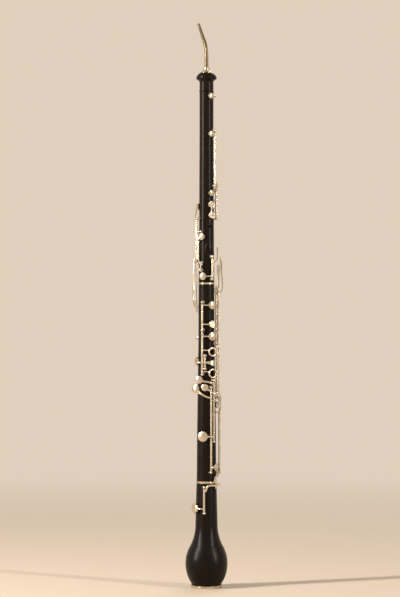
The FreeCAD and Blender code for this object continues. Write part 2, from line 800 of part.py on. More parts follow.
node(turned("bell_rim_ring", [
    ("rim_ring_radius - rim_ring_width", "0"),
    ("rim_ring_radius - 0.8", "0"),
    ("rim_ring_radius", "0.8"),
    ("rim_ring_radius", "rim_ring_height - 0.8"),
    ("rim_ring_radius - 0.8", "rim_ring_height"),
    ("rim_ring_radius - rim_ring_width", "rim_ring_height"),
]), "bell_rim_ring")

# The lower joint, with its tenon below and its socket above
lower_turned = turned("lower_turned", [
    ("bore_foot_radius", lower_tenon_end + " + tenon_cap_height"),
    ("lower_tenon_radius", lower_tenon_end + " + tenon_cap_height"),
    ("lower_tenon_radius", lower_shoulder),
    ("lower_foot_radius", lower_shoulder),
    ("lower_waist_radius", "bell_length + lower_waist_rise"),
    ("lower_slim_radius", "bell_length + lower_slim_rise"),
    ("lower_top_radius", UPPER + " - socket_ring_height"),
    ("socket_ring_radius - socket_ring_wall", UPPER + " - socket_ring_height"),
    ("socket_ring_radius - socket_ring_wall", UPPER),
    (lower_socket, UPPER),
    (lower_socket, lower_socket_floor),
    ("bore_middle_radius", lower_socket_floor),
])
RINGED = ["second_ring_rise", "third_ring_rise"]


def chimney(rise):
    """The raised wood inside a ring."""
    skin = lower_wood(rise_on(LOWER, rise))
    return at([disc("chimney_radius", f"0.8 * {skin}", f"0.2 * {skin} + 0.6 * chimney_rise"),
               cone("chimney_radius", "chimney_radius - 0.4 * chimney_rise",
                    f"{skin} + 0.6 * chimney_rise", "0.4 * chimney_rise")],
              "front_turn", level(LOWER, rise))


lower_raised = fuse("lower_raised", [lower_turned] + [cup.seat() for cup in LOWER_CUPS]
                    + [chimney(rise) for rise in RINGED])
lower_drills = [cup.drill() for cup in LOWER_CUPS]
for rise in RINGED:
    reach = f"{lower_wood(rise_on(LOWER, rise))} + 2 * chimney_rise"
    lower_drills.append(at([disc("ring_hole_radius", "0", reach)], "front_turn", level(LOWER, rise), False))
thumb_skin = lower_wood(rise_on(LOWER, "thumb_rest_rise"))
thumb_height = level(LOWER, "thumb_rest_rise")
thumb_screw_rises = [f"{thumb_height} + {side} * 0.5 * thumb_screw_spacing" for side in (-1, 1)]
for height in thumb_screw_rises:
    lower_drills.append(at([disc("thumb_screw_radius", f"{thumb_skin} - post_peg_depth",
                                 "post_peg_depth + 1")], "thumb_rest_turn", height, False))
cork_skin = lower_wood(rise_on(LOWER, "link_cork_rise"))
cork_height = level(LOWER, "link_cork_rise")
cork_hole = disc("cork_radius", f"{cork_skin} - cork_seat", "2 * cork_seat + 1")
lower_drills.append(at([cork_hole], "link_cork_turn", cork_height, False))
for rod in LOWER_RODS:
    lower_drills += rod.sockets()
node(cut("lower_joint", lower_raised, group("lower_holes", lower_drills)), "lower_joint")
node(turned("lower_socket_ring", [
    ("socket_ring_radius - socket_ring_wall", UPPER + " - socket_ring_height"),
    ("socket_ring_radius - 0.25", UPPER + " - socket_ring_height"),
    ("socket_ring_radius", UPPER + " - socket_ring_height + 0.25"),
    ("socket_ring_radius", UPPER + " - 0.25"),
    ("socket_ring_radius - 0.25", UPPER),
    ("socket_ring_radius - socket_ring_wall", UPPER),
]), "lower_socket_ring")


def tenon_cork(label, radius, end, shoulder):
    """The cork round a tenon."""
    return node(turned(label, [
        (radius, f"{end} + cork_end"),
        (f"{radius} + cork_thickness", f"{end} + cork_end"),
        (f"{radius} + cork_thickness", f"{shoulder} - cork_end"),
        (radius, f"{shoulder} - cork_end"),
    ]), label)


def tenon_cap(label, radius, bore, end):
    """The metal cap on a tenon's end."""
    return node(turned(label, [
        (bore, end),
        (f"{radius} - 0.4", end),
        (radius, f"{end} + 0.4"),
        (radius, f"{end} + tenon_cap_height"),
        (bore, f"{end} + tenon_cap_height"),
    ]), label)


tenon_cork("lower_tenon_cork", "lower_tenon_radius", lower_tenon_end, LOWER)
tenon_cap("lower_tenon_cap", "lower_tenon_radius", "bore_foot_radius", lower_tenon_end)
tenon_cork("upper_tenon_cork", "upper_tenon_radius", upper_tenon_end, UPPER)
tenon_cap("upper_tenon_cap", "upper_tenon_radius", "bore_middle_radius", upper_tenon_end)

# The upper joint, with its bead and crown
upper_turned = turned("upper_turned", [
    ("bore_middle_radius", upper_tenon_end + " + tenon_cap_height"),
    ("upper_tenon_radius", upper_tenon_end + " + tenon_cap_height"),
    ("upper_tenon_radius", upper_shoulder),
    ("upper_foot_radius", upper_shoulder),
    ("upper_waist_radius", UPPER + " + upper_waist_rise"),
    ("upper_slim_radius", UPPER + " + upper_slim_rise"),
    ("upper_slim_radius", crown_top + " - bead_drop - 0.5 * bead_height"),
    ("bead_radius", crown_top + " - bead_drop - 0.25 * bead_height"),
    ("bead_radius", crown_top + " - bead_drop + 0.25 * bead_height"),
    ("upper_slim_radius", crown_top + " - bead_drop + 0.5 * bead_height"),
    ("upper_slim_radius", crown_top + " - crown_start_drop", "crown_cove", "in"),
    ("crown_under_radius", crown_top + " - crown_under_drop"),
    ("crown_radius", crown_top + " - crown_widest_drop", "crown_dome", "out"),
    ("crown_top_radius", crown_top),
    ("receiver_radius", crown_top),
    ("receiver_radius", crown_top + " - receiver_depth"),
    ("bore_top_radius", crown_top + " - receiver_depth"),
])


def twin_boss():
    """The oval rise under the twin holes."""
    skin = upper_wood(rise_on(UPPER, "twin_hole_rise"))
    item = bind(doc.addObject("Part::Ellipsoid", "Boss"), Radius1="twin_boss_half_height",
                Radius2="0.3 * " + skin, Radius3="twin_boss_half_width")
    item.Angle1 = -90
    move(item, x=f"0.7 * {skin} + twin_boss_stand")
    return at([item], "twin_boss_turn", level(UPPER, "twin_hole_rise"), False)


upper_raised = fuse("upper_raised", [upper_turned, twin_boss()] + [cup.seat() for cup in UPPER_CUPS])
bore_space = bind(doc.addObject("Part::Cone", "Bore"), Radius1="bore_middle_radius",
                  Radius2="bore_top_radius",
                  Height=f"{crown_top} - receiver_depth - {upper_tenon_end} - tenon_cap_height")
move(bore_space, z=upper_tenon_end + " + tenon_cap_height")
upper_drills = [cup.drill() for cup in UPPER_CUPS if cup not in (upper_octave, lower_octave)]
for cup in (upper_octave, lower_octave):
    upper_drills.append(at([disc("vent_radius", f"{cup.seat_face} - vent_depth", "vent_depth + 1"),
                            disc("small_hole_radius", "0", cup.seat_face)], cup.turn, cup.height))
upper_drills.append(at([disc("finger_hole_radius", "0", "2 * upper_foot_radius")], "0",
                       level(UPPER, "finger_hole_rise"), False))
for side in (-1, 1):
    upper_drills.append(at([disc("twin_hole_radius", "0", "2 * upper_foot_radius")],
                           f"twin_boss_turn + {side} * twin_hole_turn", level(UPPER, "twin_hole_rise"),
                               False))
for rod in UPPER_RODS:
    upper_drills += rod.sockets()
node(cut("upper_joint", upper_raised, group("upper_holes", upper_drills + [bore_space])), "upper_joint")
vents = [at([disc("vent_radius", f"{cup.seat_face} - vent_depth", "vent_depth")],
            cup.turn, cup.height, False) for cup in (upper_octave, lower_octave)]
vent_holes = [at([disc("small_hole_radius * 0.6", "0", cup.seat_face + " + 1")],
                 cup.turn, cup.height, False) for cup in (upper_octave, lower_octave)]
node(cut("octave_inserts", group("vent_plugs", vents), group("vent_holes", vent_holes)), "octave_inserts")

# The receiver in the crown, and the bocal
skirt_top = f"({crown_top} + receiver_skirt_height)"
node(turned("bocal_receiver", [
    ("receiver_bore", crown_top + " - receiver_depth"),
    ("receiver_radius", crown_top + " - receiver_depth"),
    ("receiver_radius", crown_top),
    ("receiver_skirt_radius", crown_top),
    ("receiver_skirt_radius", crown_top + " + 0.6", "2 * receiver_skirt_height", "in"),
    ("receiver_collar_radius", skirt_top),
    ("receiver_collar_radius", skirt_top + " + 0.5 * receiver_collar_height"),
    ("receiver_collar_radius - 0.7", skirt_top + " + receiver_collar_height"),
    ("receiver_bore", skirt_top + " + receiver_collar_height"),
]), "bocal_receiver")
receiver_top = f"({skirt_top} + receiver_collar_height)"
bend_start = f"({receiver_top} + bocal_foot_length)"


def bocal_run(label, thinner):
    """The bocal's outside, or its bore when it is thinner by the wall."""
    less = " - bocal_wall" if thinner else ""
    foot = bind(doc.addObject("Part::Cone", label + "_foot"), Radius1="bocal_foot_radius" + less,
                Radius2="bocal_bend_radius" + less, Height="bocal_foot_length + bocal_insertion")
    move(foot, z=bend_start + " - bocal_foot_length - bocal_insertion")
    bend = bind(doc.addObject("Part::Torus", label + "_bend"), Radius1="bocal_bend",
                Radius2="bocal_bend_radius" + less, Angle3="bocal_bend_angle")
    bend.Placement = Placement(Vector(), Rotation(Vector(0, -1, 0), Vector(0, 0, 1), Vector(-1, 0, 0), "XYZ"))
    move(bend, y="bocal_bend", z=bend_start)
    end_y = "(bocal_bend * (1 - cos(bocal_bend_angle)))"
    end_z = f"({bend_start} + bocal_bend * sin(bocal_bend_angle))"
    runs = [foot, bend]
    parts = [("bocal_bend_radius", "bocal_tip_radius", "0", "bocal_top_length"),
             ("bocal_tip_radius", "bocal_tip_radius", "bocal_top_length", "bocal_tip_length")]
    for first, last, start, length in parts:
        if first == last:
            piece = bind(doc.addObject("Part::Cylinder", label + "_tip"), Radius=first + less, Height=length)
        else:
            piece = bind(doc.addObject("Part::Cone", label + "_top"), Radius1=first + less,
                         Radius2=last + less, Height=length)
        piece.Placement = Placement(Vector(), Rotation(Vector(-1, 0, 0), 34))
        piece.setExpression(".Placement.Rotation.Angle", on_sheet("bocal_bend_angle"))
        move(piece, y=f"{end_y} + ({start}) * sin(bocal_bend_angle)",
             z=f"{end_z} + ({start}) * cos(bocal_bend_angle)")
        runs.append(piece)
    return fuse(label, runs)


bocal_outside = bocal_run("bocal_outside", False)
node(cut("bocal_tube", bocal_outside, bocal_run("bocal_bore", True)), "bocal_tube")
bocal_end = f"({receiver_top} - bocal_insertion)"
cork_shell = turned("bocal_cork_blank", [
    ("bocal_bend_radius", bocal_end),
    ("receiver_bore - cork_fit", bocal_end),
    ("receiver_bore - cork_fit", receiver_top + " - 0.5"),
    ("bocal_bend_radius", receiver_top + " - 0.5"),
])
node(cut("bocal_cork", cork_shell, bocal_run("bocal_inside_cork", False)), "bocal_cork")


# Rods and posts
def hardware(prefix, rods):
    steel = [rod.rod for rod in rods]
    needles = [rod.spring() for rod in rods]
    node(group(prefix + "_rods", steel), prefix + "_rods")
    node(group(prefix + "_springs", needles), prefix + "_springs")
    heads = [post for rod in rods for post in rod.posts()]
    node(cut(prefix + "_posts", group(prefix + "_post_blanks", heads),
             group(prefix + "_post_bores", steel + needles)), prefix + "_posts")


hardware("upper", UPPER_RODS)
hardware("lower", LOWER_RODS)
hardware("bell", BELL_RODS)


def cup_arm(rod, cup, past="cup_arm_past", distance=None):
    """An arm from a rod's tube across a cup."""
    far = cup.turn
    lift = distance or f"{cup.top} + cup_arm_lift"
    if value(rod.turn) < value(far):
        return arm(lift, rod.turn, f"{far} + {past}", cup.height)
    return arm(lift, f"{far} - {past}", rod.turn, cup.height)


# Keys of the upper joint
def spot(rod, turn_by, out_by, height, wide="lever_half_width", thick="lever_half_thick"):
    """A station measured from a rod."""
    return (f"{rod.turn} + {turn_by}", f"{rod.distance} + {out_by}", level(rod.foot, height), wide, thick)


key("upper_octave_key", upper_octave_rod, [("upper_octave_rod_low", "upper_octave_rod_high")], [
    cup_arm(upper_octave_rod, upper_octave, distance=upper_octave_rod.distance),
    upper_octave.metal(),
    lever("upper_octave_lever", [
        spot(upper_octave_rod, 0, 0, "upper_octave_rod_low + 8"),
        spot(upper_octave_rod, 18, 0.8, "upper_octave_rod_low + 9"),
        spot(upper_octave_rod, 36, 1.4, "upper_octave_rod_low + 10", "3.2", "touch_half_thick"),
        spot(upper_octave_rod, 54, 1.6, "upper_octave_rod_low + 11", "4.4", "touch_half_thick"),
        spot(upper_octave_rod, 66, 1.2, "upper_octave_rod_low + 12", "2.4", "0.6")]),
], [upper_octave])
key("lower_octave_key", lower_octave_rod, [("lower_octave_rod_low", "lower_octave_rod_high")], [
    cup_arm(lower_octave_rod, lower_octave, distance=lower_octave_rod.distance),
    lower_octave.metal(),
    lever("lower_octave_lever", [
        spot(lower_octave_rod, 0, 0, "lower_octave_rod_low + 5"),
        spot(lower_octave_rod, 16, 1.6, "lower_octave_rod_low + 3"),
        spot(lower_octave_rod, 45, 2.2, "lower_octave_rod_low - 4"),
        spot(lower_octave_rod, 78, 2.2, "lower_octave_rod_low - 9", "3.6", "touch_half_thick"),
        spot(lower_octave_rod, 100, 2.2, "lower_octave_rod_low - 12", "5.6", "touch_half_thick"),
        spot(lower_octave_rod, 118, 1.8, "lower_octave_rod_low - 14", "3.0", "0.6")]),
], [lower_octave])
key("small_trill_key", hand_rod, [("hand_rod_low + 26", "hand_rod_high")], [
    cup_arm(hand_rod, small_trill),
    small_trill.metal(),
    lever("small_trill_lever", [
        spot(hand_rod, 0, 0, "hand_rod_low + 34"),
        spot(hand_rod, 22, 1.0, "hand_rod_low + 31"),
        spot(hand_rod, 44, 1.4, "hand_rod_low + 28", "3.0", "touch_half_thick"),
        spot(hand_rod, 60, 1.0, "hand_rod_low + 26", "2.2", "0.6")]),
], [small_trill])
plate_height = level(UPPER, "half_hole_plate_rise")
key("half_hole_plate", hand_rod, [("hand_rod_low", "hand_rod_low + 29")], [
    arm(half_hole.top, "half_hole_cup_turn", hand_rod.turn, plate_height),
    half_hole.plate("half_hole_rim"),
    at([disc("half_hole_plate_radius", f"{half_hole.top} - 0.8", "1.2"),
        hoop("half_hole_plate_radius - plate_rim", "plate_rim", f"{half_hole.top} + 0.4")],
       "half_hole_cup_turn", plate_height),
    upright("arm_radius", "half_hole_cup_turn", f"{half_hole.top} - 0.2",
            f"{plate_height} + half_hole_plate_radius - 1",
            f"{half_hole.height} - half_hole_cup_radius + 1"),
    at([disc("half_hole_button", f"{half_hole.top} - 0.3", "0.3 + half_hole_rim"),
        dome("half_hole_button", f"{half_hole.top} + half_hole_rim")],
       "half_hole_cup_turn", half_hole.height),
], [half_hole], stand="half_hole_stand")
key("outer_trill_key", outer_trill_rod, [("outer_trill_rod_low", "outer_trill_rod_high")], [
    lever("outer_trill_arm", [
        spot(outer_trill_rod, 0, 0.3, "outer_trill_rod_high - 9"),
        spot(outer_trill_rod, -9, 0.9, "outer_trill_rod_high - 5"),
        spot(outer_trill_rod, -17, 0.9, "outer_trill_rod_high + 4"),
        ("outer_trill_cup_turn", f"{outer_trill.top} + 0.6", f"{outer_trill.height} - 2",
         "lever_half_width", "lever_half_thick"),
        ("outer_trill_cup_turn", f"{outer_trill.top} + 1", f"{outer_trill.height} + 3",
         "lever_tip_half_width", "lever_tip_half_thick")]),
    outer_trill.metal(),
    lever("outer_trill_lever", [
        spot(outer_trill_rod, 0, 0.3, "outer_trill_rod_low + 7"),
        spot(outer_trill_rod, -1, 3.2, "outer_trill_rod_low + 4"),
        spot(outer_trill_rod, -2, 4.3, "outer_trill_rod_low - 3", "lever_half_width", "touch_half_thick"),
        spot(outer_trill_rod, 1, 5.2, "outer_trill_rod_low - 20", "lever_half_width", "touch_half_thick"),
        spot(outer_trill_rod, 4, 6.0, "outer_trill_rod_low - 36", "lever_half_width", "touch_half_thick"),
        spot(outer_trill_rod, 6, 6.4, "outer_trill_rod_low - 52", "lever_half_width", "touch_half_thick"),
        spot(outer_trill_rod, 8, 6.2, "outer_trill_rod_low - 61", "1.8", "0.9"),
        spot(outer_trill_rod, 15, 4.8, "outer_trill_rod_low - 67.5", "spoon_half_width", "spoon_half_thick"),
        spot(outer_trill_rod, 20, 4.0, "outer_trill_rod_low - 72", "spoon_end_half_width",
             "spoon_end_half_thick")]),
], [outer_trill])
key("inner_trill_key", inner_trill_rod, [("inner_trill_rod_low", "inner_trill_rod_high")], [
    lever("inner_trill_arm", [
        spot(inner_trill_rod, 0, 0.2, "inner_trill_rod_low + 34"),
        spot(inner_trill_rod, 7, 0.6, "inner_trill_rod_low + 36"),
        spot(inner_trill_rod, 16, 0.3, "inner_trill_rod_low + 39"),
        ("inner_trill_cup_turn + 8", f"{inner_trill.top} + 0.4", f"{inner_trill.height} + 1.5",
         "lever_tip_half_width", "lever_tip_half_thick")]),
    inner_trill.metal(),
    lever("inner_trill_lever", [
        spot(inner_trill_rod, 0, 0.3, "inner_trill_rod_low + 7"),
        spot(inner_trill_rod, -3, 3.0, "inner_trill_rod_low + 3"),
        spot(inner_trill_rod, -8, 3.5, "inner_trill_rod_low - 2", "1.0", "0.8"),
        spot(inner_trill_rod, -13, 1.8, "inner_trill_rod_low - 10", "1.1", "0.8"),
        spot(inner_trill_rod, -16, 0.4, "inner_trill_rod_low - 30", "lever_half_width", "0.8"),
        spot(inner_trill_rod, -16, -0.2, "inner_trill_rod_low - 62", "2.0", "0.8"),
        spot(inner_trill_rod, -16, -0.4, "inner_trill_rod_low - 70", "3.6", "0.9"),
        spot(inner_trill_rod, -16, -0.6, "inner_trill_rod_low - 76", "spoon_end_half_width",
             "spoon_end_half_thick")]),
], [inner_trill])
key("g_sharp_key", g_sharp_rod, [("g_sharp_rod_low", "g_sharp_rod_high")], [
    cup_arm(g_sharp_rod, g_sharp),
    g_sharp.metal(),
    lever("g_sharp_lever", [
        spot(g_sharp_rod, 0, 0, "g_sharp_rod_high - 6"),
        spot(g_sharp_rod, 20, 0.4, "g_sharp_rod_high - 6"),
        spot(g_sharp_rod, 42, 0.6, "g_sharp_rod_high - 4"),
        spot(g_sharp_rod, 54, 0.6, "g_sharp_rod_high + 3", "1.8", "0.9"),
        spot(g_sharp_rod, 58, 0.6, "g_sharp_rod_high + 10", "spoon_half_width", "spoon_half_thick"),
        spot(g_sharp_rod, 59, 0.5, "g_sharp_rod_high + 15", "1.8", "0.7")]),
], [g_sharp])

# Keys of the lower joint
key("first_finger_key", finger_rod, [("finger_rod_middle", "finger_rod_high")], [
    cup_arm(finger_rod, first_finger, past=15),
    first_finger.metal(),
    cup_arm(finger_rod, first_plate, past="-12", distance=finger_rod.distance + " - 0.4"),
    first_plate.plate(),
    finger_rod.collar("first_finger_cup_rise - 2.6"),
    finger_rod.collar("first_finger_plate_rise"),
], [first_finger, first_plate], stand="-first_finger_stand")
ring_metal = [cup_arm(finger_rod, ring_cup, past=15), ring_cup.metal()]
for rise in RINGED:
    ring_face = f"{lower_wood(rise_on(LOWER, rise))} + 0.5 * chimney_rise + 1.6"
    ring_metal.append(at([hoop("ring_outer_radius - ring_wire_radius", "ring_wire_radius", ring_face)],
                         "front_turn", level(LOWER, rise), False))
    ring_metal.append(arm(finger_rod.distance + " - 0.3", finger_rod.turn, "front_turn - 23",
                          level(LOWER, f"{rise} + ring_arm_offset")))
    ring_metal.append(finger_rod.collar(f"{rise} + ring_arm_offset"))
key("ring_key", finger_rod, [("finger_rod_low", "finger_rod_middle")], ring_metal, [ring_cup],
    stand="-ring_stand")
key("f_key", f_rod, [("f_rod_low", "f_rod_high")], [
    lever("f_lever", [
        spot(f_rod, 0, 0.8, "f_cup_rise - 2"),
        spot(f_rod, -6, 2.6, "f_cup_rise - 2"),
        spot(f_rod, -15, "over_rod + 0.4", "f_cup_rise - 2"),
        spot(f_rod, -40, "over_rod", "f_cup_rise - 1"),
        ("f_cup_turn", f"{f_cup.top} + 1.9", f_cup.height, "lever_half_width", "lever_half_thick"),
        ("f_cup_turn - 12", f"{f_cup.top} + 1.2", f_cup.height, "lever_tip_half_width",
         "lever_tip_half_thick")]),
    f_cup.metal(),
    lever("f_touch", [
        spot(f_rod, -2, 0.4, "f_cup_rise - 2"),
        spot(f_rod, 14, 0.8, "f_cup_rise - 2.2", "1.8", "0.8"),
        spot(f_rod, 32, 0.8, "f_cup_rise - 2.6", "3.4", "0.9"),
        spot(f_rod, 47, 0.6, "f_cup_rise - 3", "4.6", "0.9"),
        spot(f_rod, 54, 0.2, "f_cup_rise - 3", "3.0", "0.6")]),
], [f_cup])
touch_distance = f"{a_rod.distance} + 1.4"
key("e_flat_key", a_rod, [("a_rod_split", "a_rod_high")], [
    touch("e_flat", touch_distance),
    lever("e_flat_tail", [
        spot(a_rod, 0, 0.2, "a_rod_high - 5.5"),
        spot(a_rod, -10, 0.8, "a_rod_high - 4.4"),
        spot(a_rod, -26, 1.4, "a_rod_high - 1.4", "2.2", "0.8"),
        spot(a_rod, -36, 1.4, "a_rod_high", "spoon_end_half_width", "spoon_end_half_thick")]),
    lever("e_flat_arm", [
        spot(a_rod, -2, 0.6, "a_rod_high - 7.5"),
        spot(a_rod, 7, "over_rod - 0.3", "a_rod_high - 8"),
        spot(a_rod, 16, "over_rod + 0.2", "a_rod_high - 9"),
        spot(a_rod, 36, "over_rod", "a_rod_high - 14.5"),
        ("e_flat_cup_turn - 9", f"{e_flat.top} + 2.6", f"{e_flat.height} + 7", "1.0", "0.8"),
        ("e_flat_cup_turn - 2", f"{e_flat.top} + 2.2", f"{e_flat.height} + 4", "thin_half_width",
         "thin_half_thick"),
        ("e_flat_cup_turn + 1", f"{e_flat.top} + 1.7", f"{e_flat.height} - 0.5", "thin_half_width",
         "thin_half_thick"),
        ("e_flat_cup_turn + 2", f"{e_flat.top} + 1.2", f"{e_flat.height} - 3", "lever_tip_half_width",
         "lever_tip_half_thick")]),
    e_flat.metal(),
], [e_flat])
key("c_sharp_key", a_rod, [("a_rod_low", "a_rod_split + 2 * ball_radius")], [
    touch("c_sharp", touch_distance),
    lever("c_sharp_tail", [
        spot(a_rod, 0, 0.2, "a_rod_split - 3.6"),
        spot(a_rod, -14, 0.8, "a_rod_split - 2.8"),
        spot(a_rod, -36, 1.4, "a_rod_split + 0.4"),
        spot(a_rod, -58, 1.4, "a_rod_split + 5", "2.2", "0.8"),
        spot(a_rod, -74, 1.4, "a_rod_split + 9", "2.4", "0.7")]),
    cup_arm(a_rod, c_sharp, distance=f"{c_sharp.top} + 0.5"),
    c_sharp.metal(),
    a_rod.collar("a_rod_split - 13"),
    a_rod.collar("a_rod_low + 87"),
    a_rod.collar("a_rod_low + 24"),
], [c_sharp])
key("c_key", b_rod, [("b_rod_low", "b_rod_high")], [
    touch("c", touch_distance),
    lever("c_tail", [
        spot(b_rod, 0, 0.2, "b_rod_high - 4.6"),
        spot(b_rod, -12, 1.0, "b_rod_high - 4.4"),
        spot(b_rod, -32, 1.4, "b_rod_high - 2.6"),
        spot(b_rod, -52, 1.4, "b_rod_high - 1.6"),
        spot(b_rod, -66, 1.4, "b_rod_high - 0.6", "2.0", "0.8"),
        spot(b_rod, -76, 1.4, "b_rod_high + 0.4", "spoon_end_half_width", "spoon_end_half_thick")]),
    lever("c_arm", [
        spot(b_rod, 1, 0.6, "c_cup_rise"),
        spot(b_rod, -7, "over_rod - 0.4", "c_cup_rise"),
        spot(b_rod, -16, "over_rod + 0.3", "c_cup_rise"),
        spot(b_rod, -38, "over_rod - 0.4", "c_cup_rise"),
        ("c_cup_turn", f"{c_cup.top} + 2", c_cup.height, "1.2", "0.8"),
        ("c_cup_turn - 10", f"{c_cup.top} + 1.4", c_cup.height, "lever_tip_half_width",
         "lever_tip_half_thick")]),
    c_cup.metal(),
], [c_cup], stand="c_key_stand")

# The left hand's two levers and the long link to the bell
key("low_b_lever", side_rod, [("side_rod_low", "side_rod_high")], [
    lever("low_b_touch", [
        spot(side_rod, 0, 0.4, "side_rod_high - 6"),
        spot(side_rod, 5, 3.6, "side_rod_high - 3"),
        spot(side_rod, 10, 6.6, "side_rod_high + 5"),
        spot(side_rod, 13, 6.6, "side_rod_high + 16"),
        spot(side_rod, 17, 5.8, "side_rod_high + 32", "1.6", "0.9"),
        spot(side_rod, 19, 5.4, "side_rod_high + 44", "spoon_half_width", "spoon_half_thick"),
        spot(side_rod, 20, 5.2, "side_rod_high + 52", "1.8", "0.7")]),
    lever("low_b_nose", [
        spot(side_rod, 0, 0.4, "side_rod_low + 7"),
        spot(side_rod, 7, 2.6, "side_rod_low + 3"),
        spot(side_rod, 12, 3.8, "side_rod_low - 4"),
        spot(side_rod, 15, 3.8, "side_rod_low - 14"),
        spot(side_rod, 15, 3.8, "side_rod_low - 24", "0.9", "0.6")]),
], [])
key("left_e_flat_lever", hidden_rod, [("hidden_rod_low", "hidden_rod_high")], [
    lever("left_e_flat_touch", [
        spot(hidden_rod, 0, 0.3, "hidden_rod_high - 6"),
        spot(hidden_rod, 5, 3.2, "hidden_rod_high - 3"),
        spot(hidden_rod, 10, 6.2, "hidden_rod_high + 4"),
        spot(hidden_rod, 14, 7.0, "hidden_rod_high + 14", "1.6", "0.9"),
        spot(hidden_rod, 17, 7.4, "hidden_rod_high + 28", "spoon_half_width", "spoon_half_thick"),
        spot(hidden_rod, 18, 7.2, "hidden_rod_high + 35", "1.8", "0.7")]),
    lever("left_e_flat_nose", [
        spot(hidden_rod, 1, -0.3, "bridge_rod_high - 4.2", "thin_half_width", "thin_half_thick"),
        spot(hidden_rod, -9, -2.2, "bridge_rod_high - 4.2", "1.0", "0.5"),
        spot(hidden_rod, -18, -2.6, "bridge_rod_high - 4.2", "1.0", "0.45"),
        spot(hidden_rod, -29, -2.6, "bridge_rod_high - 4.2", "0.9", "0.45")]),
], [])
key("e_flat_bridge", bridge_rod, [("bridge_rod_low", "bridge_rod_high")], [
    lever("bridge_top_arm", [
        spot(bridge_rod, -1, 0, "bridge_rod_high - 4.2", "0.9", "0.7"),
        spot(bridge_rod, 6, -0.8, "bridge_rod_high - 4.2", "0.9", "0.6"),
        spot(bridge_rod, 15, -1.2, "bridge_rod_high - 4.2", "0.9", "0.5")]),
    lever("bridge_nose", [
        spot(bridge_rod, 1, 0.2, "bridge_rod_low + 6", "0.9", "0.7"),
        spot(bridge_rod, 8, 0.4, "bridge_rod_low + 4.4", "0.8", "0.6"),
        spot(bridge_rod, 10.8, 0.1, "bridge_rod_low", "0.8", "0.6"),
        spot(bridge_rod, 10.5, 0.1, "bridge_rod_low - 6.6", "0.8", "0.6"),
        spot(bridge_rod, 13, 0.3, "bridge_rod_low - 10.2", "0.8", "0.6"),
        spot(bridge_rod, 16, 0.6, "bridge_rod_low - 11.2", "lever_tip_half_width", "lever_tip_half_thick")]),
], [])
key("low_b_link", link_rod, [("link_rod_low", "link_rod_high")], [
    lever("link_top_arm", [
        spot(link_rod, -1, 0.2, "link_rod_high - 5"),
        spot(link_rod, 7, 0.6, "link_rod_high - 3"),
        spot(link_rod, 14, 0.4, "link_rod_high + 3"),
        spot(link_rod, 15, 0.4, "link_rod_high + 7", "1.2", "0.6")]),
    lever("link_foot", [
        spot(link_rod, 0, 0.2, "link_rod_low + 6"),
        spot(link_rod, -9, 1.0, "link_rod_low + 4.4"),
        spot(link_rod, -15, 1.0, "link_rod_low + 0.4"),
        spot(link_rod, -30, 0.6, "link_rod_low - 2.6"),
        spot(link_rod, -46, 0.2, "link_rod_low - 6"),
        spot(link_rod, -49, 0, "link_rod_low - 12"),
        spot(link_rod, -43, -0.4, "link_rod_low - 18"),
        spot(link_rod, -42, -0.5, "link_rod_low - 24", "1.0", "0.6")]),
], [])

# The bell key
key("bell_key", bell_rod, [("bell_rod_low", "bell_rod_high")], [
    cup_arm(bell_rod, bell_cup),
    bell_cup.metal(),
    lever("bell_lever", [
        spot(bell_rod, -1, 0.3, "bell_rod_high - 6"),
        spot(bell_rod, 8, 1.4, "bell_rod_high - 4.4"),
        spot(bell_rod, 15, 1.9, "bell_rod_high + 1.4"),
        spot(bell_rod, 32, 3.0, "bell_rod_high + 3.4"),
        spot(bell_rod, 56, 4.2, "bell_rod_high + 3.4"),
        spot(bell_rod, 79, 4.8, "bell_rod_high + 3.4", "thin_half_width", "thin_half_thick")]),
], [bell_cup], stand="bell_key_stand")

# Corks and the thumb rest
node(at([disc("cork_radius", f"{cork_skin} - cork_seat", "cork_seat + cork_stand"),
         cone("cork_radius", "cork_radius - cork_edge", f"{cork_skin} + cork_stand", "cork_edge")],
        "link_cork_turn", cork_height), "link_cork")


